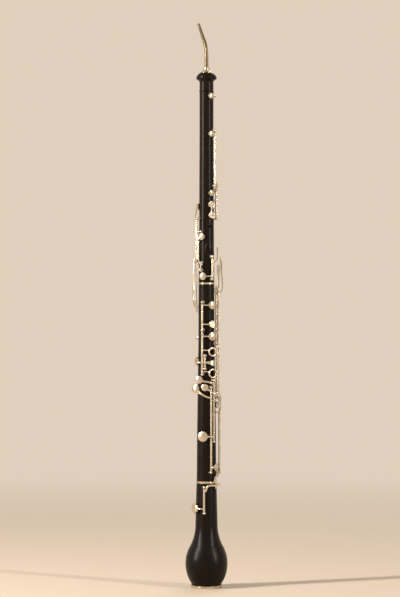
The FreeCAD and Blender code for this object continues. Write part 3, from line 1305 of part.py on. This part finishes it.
def thumb_rest():
    """A curved plate on the back with a hook for the thumb and a ring for a strap."""
    shell = bind(doc.addObject("Part::Cylinder", "Shell"), Radius=f"{thumb_skin} + thumb_plate_stand",
                 Height="2 * thumb_plate_half_height")
    move(shell, z=f"{thumb_height} - thumb_plate_half_height")
    window = bind(doc.addObject("Part::Box", "Window"), Length="2 * lower_foot_radius",
                  Width="2 * thumb_plate_half_width", Height="2 * thumb_plate_half_height")
    move(window, y="-thumb_plate_half_width", z=f"{thumb_height} - thumb_plate_half_height")
    turned_window = move(group("Window_set", [window]), turn="thumb_rest_turn - 90")
    plate = doc.addObject("Part::Common", "Plate")
    plate.Base = shell
    plate.Tool = turned_window
    hook = lever("thumb_hook", [
        ("thumb_rest_turn", f"{thumb_skin} + 0.6", f"{thumb_height} + 2", "5.0", "thumb_hook_radius"),
        ("thumb_rest_turn", f"{thumb_skin} + 0.4 * thumb_hook_reach", f"{thumb_height} + 2.4", "5.0",
         "thumb_hook_radius"),
        ("thumb_rest_turn", f"{thumb_skin} + 0.8 * thumb_hook_reach", f"{thumb_height} + 3.6", "5.4", "1.7"),
        ("thumb_rest_turn", f"{thumb_skin} + thumb_hook_reach", f"{thumb_height} + 6", "4.6", "1.2")])
    eye = bind(doc.addObject("Part::Torus", "Eye"), Radius1="strap_ring_radius", Radius2="strap_ring_wire")
    eye.Placement = Placement(Vector(), Rotation(Vector(1, 0, 0), 90))
    eye_place = f"{thumb_skin} + thumb_plate_stand + strap_ring_radius + 0.2"
    eye.setExpression(".Placement.Base.x", on_sheet(eye_place))
    eye_set = move(group("Eye_set", [eye]), z=f"{thumb_height} - 4.2", turn="thumb_rest_turn - 90")
    whole = fuse("thumb_rest_blank", [plate, hook, eye_set])
    inside = bind(doc.addObject("Part::Cylinder", "Inside"), Radius=f"{thumb_skin} - 1",
                  Height="4 * thumb_plate_half_height")
    move(inside, z=f"{thumb_height} - 2 * thumb_plate_half_height")
    holes = [at([disc("thumb_screw_radius", "lower_slim_radius - 2", "8")], "thumb_rest_turn", height, False)
             for height in thumb_screw_rises]
    return cut("thumb_rest", whole, group("thumb_rest_space", [inside, lower_turned] + holes))


node(thumb_rest(), "thumb_rest")
screws = []
for height in thumb_screw_rises:
    screws.append(at([disc("thumb_screw_radius", f"{thumb_skin} - post_peg_depth",
                           "post_peg_depth + thumb_plate_stand"),
                      disc("thumb_screw_head", f"{thumb_skin} + thumb_plate_stand", "0.9"),
                      ], "thumb_rest_turn", height))
node(group("thumb_rest_screws", screws), "thumb_rest_screws")

doc.recompute()
bad = [item.Label for item in doc.Objects if "Invalid" in item.State or "Error" in item.State]
if bad:
    raise SystemExit("did not compute: " + ", ".join(bad))
os.makedirs("parts", exist_ok=True)
for label, item in NODES.items():
    shape = item.Shape
    if shape.isNull() or not shape.isValid() or not shape.Solids:
        raise SystemExit("bad shape: " + label)
for label, item in NODES.items():
    item.Shape.exportStep(f"parts/{label}.step")
    print(label, len(item.Shape.Solids), round(item.Shape.Volume, 1))
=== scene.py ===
# %% [markdown]
# # Dressing an English horn
# What is left is what the eye judges first, which is the wood, the metal, the cork and the
# leather, and the small parts that finish the mechanism.

# %%
# Load the horn
import bpy
import json
import math
from mathutils import Matrix, Vector


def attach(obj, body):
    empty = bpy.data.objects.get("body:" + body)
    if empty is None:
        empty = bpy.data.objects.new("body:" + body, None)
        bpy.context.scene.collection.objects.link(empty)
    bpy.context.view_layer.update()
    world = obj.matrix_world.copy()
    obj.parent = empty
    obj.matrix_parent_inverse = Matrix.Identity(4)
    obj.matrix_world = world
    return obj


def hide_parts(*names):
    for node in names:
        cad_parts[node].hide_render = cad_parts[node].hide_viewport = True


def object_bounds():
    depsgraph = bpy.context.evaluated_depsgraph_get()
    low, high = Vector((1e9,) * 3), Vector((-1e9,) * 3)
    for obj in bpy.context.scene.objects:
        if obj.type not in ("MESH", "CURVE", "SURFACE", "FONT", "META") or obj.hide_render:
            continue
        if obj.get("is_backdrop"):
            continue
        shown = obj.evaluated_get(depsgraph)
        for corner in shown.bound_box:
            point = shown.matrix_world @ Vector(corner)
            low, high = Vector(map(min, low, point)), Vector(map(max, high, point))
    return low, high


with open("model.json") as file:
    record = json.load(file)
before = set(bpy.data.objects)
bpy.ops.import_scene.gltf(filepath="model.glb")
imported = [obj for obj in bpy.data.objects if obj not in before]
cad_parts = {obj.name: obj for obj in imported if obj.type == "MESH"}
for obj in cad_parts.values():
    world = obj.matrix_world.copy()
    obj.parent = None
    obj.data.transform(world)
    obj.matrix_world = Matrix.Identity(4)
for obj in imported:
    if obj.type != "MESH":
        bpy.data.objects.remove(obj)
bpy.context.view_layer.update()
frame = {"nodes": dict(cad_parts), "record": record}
scene = bpy.context.scene

# %% [markdown]
# ## The camera
# A long, slim object is photographed with a long lens from far away, so that its ends don't lean.
# The horn stands on its bell, turned a little to the right, and the lens is level with its middle.
# One pixel of the 400 by 597 picture is 1.54 mm at the horn, which gives the height of the field
# of view, and the focal length follows from that height and the distance.

# %%
# Camera
MM = 0.001
PICTURE_HEIGHT = 597
PIXEL = 1.54 * MM
FIELD_HEIGHT = PICTURE_HEIGHT * PIXEL
CAMERA_DISTANCE = 4.0
CAMERA_TURN = math.radians(-28)
CAMERA_HEIGHT = 0.445
AXIS_OFFSET = 10.0 * MM
SENSOR = 36.0

away = Vector((math.sin(CAMERA_TURN), -math.cos(CAMERA_TURN), 0))
right = Vector((math.cos(CAMERA_TURN), math.sin(CAMERA_TURN), 0))
aim = Vector((0, 0, CAMERA_HEIGHT)) - right * AXIS_OFFSET
lens = bpy.data.cameras.new("long_lens")
lens.sensor_fit = "VERTICAL"
lens.sensor_height = SENSOR
lens.lens = SENSOR * CAMERA_DISTANCE / FIELD_HEIGHT
camera = bpy.data.objects.new("camera", lens)
camera.location = aim + away * CAMERA_DISTANCE
camera.rotation_euler = (math.radians(90), 0, CAMERA_TURN)
scene.collection.objects.link(camera)
scene.camera = camera
scene.view_settings.view_transform = "Standard"
print("lens", round(lens.lens, 1), "mm")

# %% [markdown]
# ## Colours and nodes
# Paint charts and web pages give colours as sRGB hex values, while the renderer adds up linear
# light. One function turns the one into the other. A second one adds a node, sets its values and
# links its inputs in one go, so that each material below reads from top to bottom like a recipe.

# %%
# Colour and node helpers
def linear(code):
    """Turn a hex colour such as 8a6d4b into linear red, green, blue and alpha."""
    parts = [int(code[i:i + 2], 16) / 255 for i in (0, 2, 4)]
    return [p / 12.92 if p <= 0.04045 else ((p + 0.055) / 1.055) ** 2.4 for p in parts] + [1.0]


def add(tree, kind, inputs=None, **settings):
    """Add a node. An input may be a number, a colour or another node's output."""
    node = tree.nodes.new("ShaderNode" + kind)
    for name, setting in settings.items():
        setattr(node, name, setting)
    for key, source in (inputs or {}).items():
        if isinstance(source, bpy.types.NodeSocket):
            tree.links.new(source, node.inputs[key])
        else:
            node.inputs[key].default_value = source
    return node


def ramp(tree, source, *stops):
    """Add a colour ramp from (place, hex colour) stops, and give its colour output."""
    node = add(tree, "ValToRGB", {"Fac": source})
    bands = node.color_ramp.elements
    while len(bands) < len(stops):
        bands.new(0.5)
    for band, (place, code) in zip(bands, stops):
        band.position = place
        band.color = linear(code)
    return node.outputs["Color"]


def blend(tree, share, first, second):
    """Blend from one colour to another. Each is a node's output or a hex colour."""
    node = add(tree, "Mix", {0: share}, data_type="RGBA")
    for socket, colour in ((node.inputs[6], first), (node.inputs[7], second)):
        if isinstance(colour, str):
            socket.default_value = linear(colour)
        else:
            tree.links.new(colour, socket)
    return node.outputs[2]


def span(tree, source, low, high, start=0.0, end=1.0):
    """Map a value from one range to another."""
    inputs = {"Value": source, "From Min": low, "From Max": high, "To Min": start, "To Max": end}
    return add(tree, "MapRange", inputs).outputs["Result"]


def start(name, stretch=(1, 1, 1)):
    """A new material: its tree, its Principled shader and its stretched object coordinates."""
    material = bpy.data.materials.new(name)
    material.use_nodes = True
    tree = material.node_tree
    tree.nodes.clear()
    shader = add(tree, "BsdfPrincipled")
    add(tree, "OutputMaterial", {"Surface": shader.outputs[0]})
    place = add(tree, "TexCoord").outputs["Object"]
    place = add(tree, "Mapping", {"Vector": place, "Scale": stretch}).outputs["Vector"]
    return material, tree, shader, place


def noise(tree, place, size, detail=3.0, roughness=0.5):
    """A noise whose patches are as wide as size, in metres."""
    inputs = {"Vector": place, "Scale": 1 / size, "Detail": detail, "Roughness": roughness}
    return add(tree, "TexNoise", inputs).outputs["Fac"]


def plug(tree, shader, bumps=(), **sockets):
    """Link or set the shader's sockets, and stack bumps given as (height, depth in metres)."""
    normal = None
    for height, depth in bumps:
        inputs = {"Height": height, "Distance": depth, "Strength": 1.0}
        if normal:
            inputs["Normal"] = normal
        normal = add(tree, "Bump", inputs).outputs["Normal"]
    if normal:
        tree.links.new(normal, shader.inputs["Normal"])
    for name, source in sockets.items():
        socket = shader.inputs[name.replace("_", " ")]
        if isinstance(source, bpy.types.NodeSocket):
            tree.links.new(source, socket)
        else:
            socket.default_value = source


print("white is", [round(v, 2) for v in linear("ffffff")])

# %% [markdown]
# ## African blackwood, turned and oiled
# The three joints are grenadilla, a rosewood so dense that it sinks. It is nearly black, with
# brown streaks that run along the tube, and its open pores show as short dark dashes. Turned,
# sanded and oiled, it has the soft gloss of a polished shoe. We stretch a noise along the tube for
# the streaks and a finer one for the pores. A pore is a tenth of a millimetre wide, too fine for
# the picture, so it is drawn three times as wide. Handling leaves the gloss uneven, so a broad
# noise moves the roughness up and down.

# %%
# Blackwood
STREAK = 1.6 * MM
PORE = 0.3 * MM
HANDLING = 28 * MM
GRAIN_STRETCH = 0.05
WOOD_SHINE = 0.13


def blackwood(name, dark, middle, light, gloss):
    """Oiled blackwood with streaks and pores along the tube."""
    material, tree, shader, place = start(name, (1, 1, GRAIN_STRETCH))
    streaks = noise(tree, place, STREAK, 4.0, 0.6)
    pits = span(tree, noise(tree, place, PORE, 2.0, 0.6), 0.56, 0.66)
    even = add(tree, "TexCoord").outputs["Object"]
    handling = noise(tree, even, HANDLING, 3.0)
    colour = blend(tree, pits, ramp(tree, streaks, (0.3, dark), (0.55, middle), (0.75, light)), dark)
    rough = span(tree, handling, 0.3, 0.7, gloss, gloss + 0.1)
    rough = add(tree, "Math", {0: rough, 1: span(tree, pits, 0, 1, 0, 0.15)}, operation="ADD")
    plug(tree, shader, [(streaks, 0.002 * MM), (pits, -0.006 * MM)], Base_Color=colour,
         Roughness=rough.outputs[0], IOR=1.54, Specular_IOR_Level=WOOD_SHINE)
    return material


joint_wood = blackwood("blackwood_turned_oiled", "0a0604", "150c07", "2e1b10", 0.23)
bell_wood = blackwood("blackwood_bell_polished", "0a0604", "120a06", "24150d", 0.24)
print("wood:", joint_wood.name, bell_wood.name)

# %% [markdown]
# ## Nickel silver, filed and polished
# The keys are nickel silver: copper, zinc and nickel, whiter than brass and warmer than chrome.
# Each one is forged, filed and polished by hand, which leaves hair-fine scratches, and fingers
# leave a thin yellow tarnish. A metal keeps the default IOR. The tarnish is a noise as wide as a
# fingertip, and the scratches are a stretched noise, drawn three times as coarse as they are. The
# corners get painted shade: a brown is blended in wherever an ambient occlusion node finds little
# open space within a millimetre or two, and the same brown also stands for the tarnish that
# gathers where a cloth can't reach.

# %%
# Key metal
FINGERTIP = 14 * MM
SCRATCH = 0.25 * MM
CORNER = 1.5 * MM
# Brown for painted shade in the corners, which also stands for the tarnish there.
CORNER_SHADE_AND_GRIME = "463a2a"


def polished(name, bright, stained, gloss, stretch=(1, 1, 0.12)):
    """Polished metal with hair-fine scratches, a patchy tarnish, and painted shade with tarnish in
    the corners.
    """
    material, tree, shader, place = start(name, stretch)
    scratches = noise(tree, place, SCRATCH, 2.0, 0.7)
    even = add(tree, "TexCoord").outputs["Object"]
    tarnish = noise(tree, even, FINGERTIP, 4.0, 0.65)
    colour = ramp(tree, tarnish, (0.52, bright), (0.85, stained))
    dull = span(tree, tarnish, 0.35, 0.8, gloss, gloss + 0.16)
    dull = add(tree, "Math", {0: dull, 1: span(tree, scratches, 0.3, 0.7, 0, 0.08)},
               operation="ADD").outputs[0]
    # Painted shade: where ambient occlusion finds little open space, the colour turns brown, also
    # standing for tarnish.
    open_sky = add(tree, "AmbientOcclusion", {"Distance": CORNER}, samples=8).outputs["AO"]
    colour = blend(tree, span(tree, open_sky, 0.25, 0.75), CORNER_SHADE_AND_GRIME, colour)
    plug(tree, shader, [(scratches, 0.0005 * MM)], Base_Color=colour, Roughness=dull, Metallic=1.0)
    return material


key_metal = polished("nickel_silver_hand_polished", "d6cab8", "b3a287", 0.15)
post_metal = polished("nickel_silver_posts", "cdc1ae", "a39377", 0.19)
rod_steel = polished("steel_drawn_rod", "bdbcb6", "8d877c", 0.26, (1, 1, 0.03))
blued_steel = polished("needle_steel_blued", "3b4763", "2a2f3d", 0.28, (1, 1, 0.03))
print("metals:", key_metal.name, post_metal.name, rod_steel.name)

# %% [markdown]
# ## Nickel silver, turned
# The rings and the receiver are spun in a lathe. The tool leaves fine lines round them, which
# stretch each highlight into a bright band. A noise that changes only along the axis draws those
# lines: it is squeezed flat in X and Y, so it hardly varies there.

# %%
# Ring metal
TOOL_LINE = 0.35 * MM


def turned(name, bright, stained, gloss):
    """Metal from the lathe, with tool lines round it."""
    material, tree, shader, place = start(name, (0.02, 0.02, 1))
    lines = noise(tree, place, TOOL_LINE, 2.0, 0.6)
    even = add(tree, "TexCoord").outputs["Object"]
    tarnish = noise(tree, even, FINGERTIP, 4.0, 0.65)
    colour = ramp(tree, tarnish, (0.42, bright), (0.78, stained))
    dull = span(tree, lines, 0.3, 0.7, gloss, gloss + 0.16)
    plug(tree, shader, [(lines, 0.0015 * MM)], Base_Color=colour, Roughness=dull, Metallic=1.0)
    return material


ring_metal = turned("nickel_silver_turned", "d2c5ab", "a08d66", 0.2)
print("rings:", ring_metal.name)

# %% [markdown]
# ## The bocal's metal
# The bent tube is drawn over a mandrel and bent by hand. It is handled at each playing, so most of
# it has a brown tarnish, and the bright metal shows only where the reed is pushed on and off.

# %%
# Bocal metal
TARNISH_PATCH = 6 * MM
SPECK = 0.6 * MM


def tarnished_tube(name):
    """A drawn tube with a brown, cloudy tarnish."""
    material, tree, shader, place = start(name, (1, 1, 0.4))
    bloom = noise(tree, place, TARNISH_PATCH, 5.0, 0.7)
    fine = noise(tree, place, SPECK, 3.0, 0.6)
    colour = ramp(tree, bloom, (0.3, "83765f"), (0.5, "72654e"), (0.75, "62563f"))
    dull = span(tree, bloom, 0.3, 0.7, 0.26, 0.4)
    plug(tree, shader, [(fine, 0.0008 * MM)], Base_Color=colour, Roughness=dull, Metallic=1.0)
    return material


bocal_metal = tarnished_tube("nickel_silver_tarnished_tube")
print("bocal:", bocal_metal.name)

# %% [markdown]
# ## Cork
# The tenons are lapped with sheet cork, sanded to fit and greased. Cork is made of grains a
# millimetre or two across, with brown lines between them and small dark pits.

# %%
# Cork
CORK_GRAIN = 1.3 * MM
CORK_PIT = 0.9 * MM


def sheet_cork(name):
    """Sanded cork: grains with brown lines between them, and dark pits."""
    material, tree, shader, place = start(name)
    inputs = {"Vector": place, "Scale": 1 / CORK_GRAIN, "Randomness": 1.0}
    cells = add(tree, "TexVoronoi", inputs).outputs["Distance"]
    pits = noise(tree, place, CORK_PIT, 4.0, 0.7)
    colour = ramp(tree, cells, (0.05, "c79a66"), (0.5, "b5864f"), (0.8, "8a5f35"))
    spots = span(tree, pits, 0.6, 0.68)
    plug(tree, shader, [(cells, -0.08 * MM), (spots, -0.12 * MM)],
         Base_Color=blend(tree, spots, colour, "5d3d22"),
         Roughness=span(tree, pits, 0.3, 0.7, 0.68, 0.9), IOR=1.45)
    return material


cork = sheet_cork("sheet_cork_sanded")
print("cork:", cork.name)

# %% [markdown]
# ## Pad skin
# A pad is a disc of felt under a skin of thin kid leather, ironed until it is flat. The skin is
# cream-white, with a web of very fine wrinkles.

# %%
# Pad skin
WRINKLE = 0.5 * MM
SKIN_CLOUD = 3 * MM


def kid_leather(name):
    """Thin leather with a web of fine wrinkles."""
    material, tree, shader, place = start(name)
    inputs = {"Vector": place, "Scale": 1 / WRINKLE, "Randomness": 1.0}
    web = add(tree, "TexVoronoi", inputs, feature="DISTANCE_TO_EDGE").outputs["Distance"]
    cloud = noise(tree, place, SKIN_CLOUD, 3.0)
    colour = ramp(tree, cloud, (0.3, "efe6d3"), (0.7, "d9c9a8"))
    plug(tree, shader, [(span(tree, web, 0.0, 0.15), 0.02 * MM)],
         Base_Color=colour, Roughness=span(tree, cloud, 0.3, 0.7, 0.5, 0.66), IOR=1.5)
    return material


pad_skin = kid_leather("kid_leather_pad")
print("pads:", pad_skin.name)

# %% [markdown]
# ## Give every node its finish
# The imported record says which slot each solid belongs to, so one table from slot to material
# dresses all of them. Only the material slots change; the meshes stay as they are.

# %%
# Dress the nodes
FINISH = {
    "blackwood": joint_wood,
    "bell_blackwood": bell_wood,
    "silver_rings": ring_metal,
    "key_metal": key_metal,
    "post_metal": post_metal,
    "rod_steel": rod_steel,
    "bocal_metal": bocal_metal,
    "cork": cork,
    "pad_skin": pad_skin,
    "spring_steel": blued_steel,
}
for part in frame["record"]["subparts"]:
    node = frame["nodes"][part["node"]]
    node.data.materials.clear()
    node.data.materials.append(FINISH[part["material_slot"]])

# %% [markdown]
# ## Slotted rod ends
# Each key turns on a steel rod, and each rod is screwed home from one end with a small screwdriver.
# Its slotted end shows in the ball of the last post. We find every rod in the construction model:
# a node of rods is one mesh, so its rods are the groups of joined points. The screw end is turned
# once, from a cylinder with a bevelled rim and a slot sawn across it, and copied to each rod.

# %%
# Slotted rod ends
import bmesh

SCREW_RADIUS = 1.05 * MM
SCREW_HEIGHT = 0.6 * MM
SLOT_WIDTH = 0.4 * MM
SLOT_DEPTH = 0.3 * MM
SCREW_SINK = 0.1 * MM
SCREW_BEVEL = 0.15 * MM
SCREW_STEP = 40
SHORTEST_ROD = 8 * MM


def boxes_of_islands(name):
    """The lowest and highest corner of every separate solid in a node."""
    shell = bmesh.new()
    shell.from_mesh(frame["nodes"][name].data)
    bmesh.ops.remove_doubles(shell, verts=shell.verts, dist=1e-6)
    left = set(shell.verts)
    boxes = []
    while left:
        island = [left.pop()]
        for vertex in island:
            for edge in vertex.link_edges:
                other = edge.other_vert(vertex)
                if other in left:
                    left.remove(other)
                    island.append(other)
        rows = list(zip(*(vertex.co for vertex in island)))
        boxes.append((Vector([min(row) for row in rows]), Vector([max(row) for row in rows])))
    shell.free()
    return sorted(boxes, key=lambda box: box[0].z)


def apply_all(piece):
    """Apply a piece's modifiers, and put its place into its mesh."""
    bpy.ops.object.select_all(action="DESELECT")
    piece.select_set(True)
    bpy.context.view_layer.objects.active = piece
    for modifier in list(piece.modifiers):
        bpy.ops.object.modifier_apply(modifier=modifier.name)
    bpy.ops.object.transform_apply(location=True, rotation=True, scale=True)


def bevel_end(piece, side, width, segments):
    """Bevel the rim of a cylinder's upper end, with side 1, or of its lower end, with side -1."""
    bpy.ops.object.mode_set(mode="EDIT")
    bpy.ops.mesh.select_all(action="DESELECT")
    shell = bmesh.from_edit_mesh(piece.data)
    for face in shell.faces:
        if face.normal.z * side > 0.9:
            for edge in face.edges:
                edge.select = True
    bmesh.update_edit_mesh(piece.data)
    bpy.ops.mesh.bevel(offset=width, segments=segments, affect="EDGES")
    bpy.ops.object.mode_set(mode="OBJECT")


def slotted_head(radius, height, slot_width, slot_depth, bevel):
    """A screw's head that stands on the origin, slotted along X."""
    bpy.ops.object.select_all(action="DESELECT")
    bpy.ops.mesh.primitive_cylinder_add(vertices=32, radius=radius, depth=height,
                                        location=(0, 0, 0.5 * height))
    head = bpy.context.object
    bevel_end(head, 1, bevel, 3)
    bpy.ops.object.select_all(action="DESELECT")
    bpy.ops.mesh.primitive_cube_add(size=1, location=(0, 0, height))
    saw = bpy.context.object
    saw.scale = (4 * radius, slot_width, 2 * slot_depth)
    cutting = head.modifiers.new("slot", "BOOLEAN")
    cutting.object = saw
    cutting.operation = "DIFFERENCE"
    cutting.solver = "EXACT"
    apply_all(head)
    bpy.data.objects.remove(saw, do_unlink=True)
    return head


def copy_to(master, name, spot, turn=None):
    """A copy of a piece with its own mesh, turned and then moved to its spot."""
    piece = master.copy()
    piece.data = master.data.copy()
    piece.name = name
    scene.collection.objects.link(piece)
    piece.rotation_mode = "QUATERNION"
    if turn:
        piece.rotation_quaternion = turn
    piece.location = spot
    apply_all(piece)
    return piece


def paint(piece, material):
    """Give a piece one material in place of what it has."""
    piece.data.materials.clear()
    piece.data.materials.append(material)


screw_end = slotted_head(SCREW_RADIUS, SCREW_HEIGHT, SLOT_WIDTH, SLOT_DEPTH, SCREW_BEVEL)
screw_steel = polished("steel_screw_turned", "c6c3ba", "8f887a", 0.24)
rods_of = {"upper_rods": "upper_joint", "lower_rods": "lower_joint", "bell_rods": "bell"}
made = 0
for node, body in rods_of.items():
    for low, high in boxes_of_islands(node):
        if high.z - low.z < SHORTEST_ROD:
            continue
        made += 1
        middle = (low + high) / 2
        turn = Matrix.Rotation(math.radians(SCREW_STEP * made), 4, "Z").to_quaternion()
        spot = (middle.x, middle.y, high.z - SCREW_SINK)
        piece = copy_to(screw_end, f"rod_screw_{made:02d}", spot, turn)
        paint(piece, screw_steel)
        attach(piece, body)
bpy.data.objects.remove(screw_end, do_unlink=True)
print("rod screws:", made)

# %% [markdown]
# ## Thumb rest screws
# The thumb rest takes the horn's whole weight, so two wood screws hold it. Their flat heads were
# plain discs in the construction model. These slotted ones stand for them, on shanks as long as
# before, and lie with the head outwards, along the line from the bore through each old screw.

# %%
# Thumb rest screws
THUMB_HEAD = 2.1 * MM
THUMB_HEAD_HEIGHT = 0.9 * MM
THUMB_SHANK = 1.3 * MM
THUMB_SLOT_WIDTH = 0.6 * MM
THUMB_SLOT_DEPTH = 0.45 * MM
THUMB_BEVEL = 0.25 * MM

thumb_head = slotted_head(THUMB_HEAD, THUMB_HEAD_HEIGHT, THUMB_SLOT_WIDTH, THUMB_SLOT_DEPTH,
                          THUMB_BEVEL)
for count, (low, high) in enumerate(boxes_of_islands("thumb_rest_screws"), start=1):
    middle = (low + high) / 2
    outwards = Vector((middle.x, middle.y, 0)).normalized()
    reach = high.y - low.y
    turn = outwards.to_track_quat("Z", "Y")
    spot = Vector((0, 0, middle.z)) + outwards * (high.y / outwards.y - THUMB_HEAD_HEIGHT)
    piece = copy_to(thumb_head, f"thumb_screw_{count}", spot, turn)
    bpy.ops.object.select_all(action="DESELECT")
    bpy.ops.mesh.primitive_cone_add(vertices=24, radius1=0.6 * THUMB_SHANK, radius2=THUMB_SHANK,
                                    depth=reach - THUMB_HEAD_HEIGHT)
    shank = bpy.context.object
    shank.rotation_mode = "QUATERNION"
    shank.rotation_quaternion = turn
    shank.location = spot - outwards * 0.5 * (reach - THUMB_HEAD_HEIGHT)
    apply_all(shank)
    bpy.ops.object.select_all(action="DESELECT")
    shank.select_set(True)
    piece.select_set(True)
    bpy.context.view_layer.objects.active = piece
    bpy.ops.object.join()
    paint(piece, screw_steel)
    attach(piece, "lower_joint")
    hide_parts("thumb_rest_screws")
bpy.data.objects.remove(thumb_head, do_unlink=True)
print("thumb rest screws:", count)

# %% [markdown]
# ## Cork bumpers
# Metal that lands on wood clicks, so the touches of the three little-finger keys each carry a thin
# disc of cork underneath. We find where it sits with a ray: it starts on the bore's axis, runs
# outwards below the touch, and the first metal that it meets is the touch's underside.

# %%
# Cork bumpers
BUMPER_RADIUS = 1.5 * MM
BUMPER_HEIGHT = 0.7 * MM
BUMPER_BEVEL = 0.2 * MM
GLUE = 0.03 * MM
OUTSIDE = 100 * MM

bpy.ops.object.select_all(action="DESELECT")
bpy.ops.mesh.primitive_cylinder_add(vertices=32, radius=BUMPER_RADIUS, depth=BUMPER_HEIGHT)
bumper_blank = bpy.context.object
bevel_end(bumper_blank, -1, BUMPER_BEVEL, 2)
apply_all(bumper_blank)


def bumper(name, node, body, turn, rise):
    """A cork disc on the underside of a touch, at a turn in degrees from the front and a height."""
    angle = math.radians(turn)
    outwards = Vector((math.sin(angle), -math.cos(angle), 0))
    hit, place, normal = frame["nodes"][node].ray_cast(Vector((0, 0, rise)), outwards)[:3]
    if not hit:
        raise RuntimeError("no metal above " + name)
    up = -normal
    spot = place - up * (0.5 * BUMPER_HEIGHT - GLUE)
    piece = copy_to(bumper_blank, name, spot, up.to_track_quat("Z", "Y"))
    paint(piece, cork)
    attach(piece, body)
    wood = frame["nodes"]["lower_joint"]
    under = wood.ray_cast(place + outwards * OUTSIDE, -outwards)[1]
    print(name, "gap to the wood", round((place - under).length / MM, 2), "mm")


bumper("c_bumper", "c_key", "c_key_body", turn=-63, rise=0.3203)
bumper("c_sharp_bumper", "c_sharp_key", "c_sharp_key_body", turn=-80, rise=0.3062)
bumper("e_flat_bumper", "e_flat_key", "e_flat_key_body", turn=-38, rise=0.3085)
bpy.data.objects.remove(bumper_blank, do_unlink=True)

# %% [markdown]
# ## Floor, backdrop and light
# A pale floor catches a soft shadow. Large soft lamps stand left and right of the camera: each one
# draws a long, soft line of light down the dark wood, which is what makes it look round.

# %%
# Floor, world and lamps
def seen_by_eye(tree):
    """1 where the camera, a mirror or glass looks, and 0 for the light that falls on things."""
    rays = add(tree, "LightPath").outputs
    seen = rays["Is Camera Ray"]
    for name in ("Is Glossy Ray", "Is Transmission Ray"):
        seen = add(tree, "Math", {0: seen, 1: rays[name]}, operation="MAXIMUM").outputs[0]
    return seen


def pale_world(name, pale, lamp_level):
    """A world that looks pale, and lights the horn at a level of its own."""
    world = bpy.data.worlds.new(name)
    world.use_nodes = True
    tree = world.node_tree
    tree.nodes.clear()
    lit = add(tree, "Background", {"Color": linear(pale), "Strength": lamp_level})
    shown = add(tree, "Background", {"Color": linear(pale), "Strength": 1.0})
    mix = add(tree, "MixShader", {0: seen_by_eye(tree), 1: lit.outputs[0], 2: shown.outputs[0]})
    add(tree, "OutputWorld", {"Surface": mix.outputs[0]})
    return world


PALE = "e0cfbc"
WORLD_LIGHT = 0.25
FLOOR_RADIUS = 30.0
PAPER_FIBRE = 40 * MM
FADE_START = 0.35
FADE_END = 2.6

scene.world = pale_world("pale_studio", PALE, WORLD_LIGHT)

bpy.ops.object.select_all(action="DESELECT")
bpy.ops.mesh.primitive_circle_add(vertices=96, radius=FLOOR_RADIUS, fill_type="NGON",
                                  location=(0, 0, 0))
floor = bpy.context.object
floor.name = "studio_floor"
floor_paint = bpy.data.materials.new("floor_paper")
floor_paint.use_nodes = True
tree = floor_paint.node_tree
paper = tree.nodes["Principled BSDF"]
spot = add(tree, "TexCoord").outputs["Object"]
fibre = noise(tree, spot, PAPER_FIBRE, 3.0)
plug(tree, paper, Base_Color=ramp(tree, fibre, (0.3, "e8d8c5"), (0.7, "eadac8")), Roughness=0.85)
far = add(tree, "VectorMath", {0: spot}, operation="LENGTH").outputs["Value"]
far = add(tree, "MapRange", {"Value": far, "From Min": FADE_START, "From Max": FADE_END},
          interpolation_type="SMOOTHSTEP").outputs["Result"]
far = add(tree, "Math", {0: far, 1: seen_by_eye(tree)}, operation="MULTIPLY").outputs[0]
glow = add(tree, "Emission", {"Color": linear(PALE), "Strength": 1.0})
fade = add(tree, "MixShader", {0: far, 1: paper.outputs[0], 2: glow.outputs[0]})
tree.links.new(fade.outputs[0], tree.nodes["Material Output"].inputs["Surface"])
floor.data.materials.append(floor_paint)
floor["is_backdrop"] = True


def softbox(name, turn, distance, height, width, tall, power, colour="ffffff"):
    """A large lamp that stands at a turn from the camera, in degrees, and faces the horn."""
    angle = CAMERA_TURN + math.radians(turn)
    lamp = bpy.data.lights.new(name, "AREA")
    lamp.shape = "RECTANGLE"
    lamp.size = width
    lamp.size_y = tall
    lamp.energy = power
    lamp.color = linear(colour)[:3]
    box = bpy.data.objects.new(name, lamp)
    box.location = (math.sin(angle) * distance, -math.cos(angle) * distance, height)
    facing = Vector((0, 0, CAMERA_HEIGHT)) - box.location
    box.rotation_euler = facing.to_track_quat("-Z", "Y").to_euler()
    scene.collection.objects.link(box)


WARM = "fff6ec"
softbox("left_softbox", turn=-64, distance=2.0, height=1.35, width=0.1, tall=1.9, power=64,
        colour=WARM)
softbox("right_softbox", turn=54, distance=2.3, height=1.25, width=0.08, tall=1.9, power=32,
        colour=WARM)
softbox("top_softbox", turn=165, distance=2.0, height=2.0, width=1.2, tall=0.8, power=14)
print("world, floor and lamps are up")

# %% [markdown]
# ## The dressed model's size
# The box round the dressed model, floor left out, gives its size.

# %%
# Finish
low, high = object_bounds()
print("size:", [round(h - l, 4) for l, h in zip(low, high)])
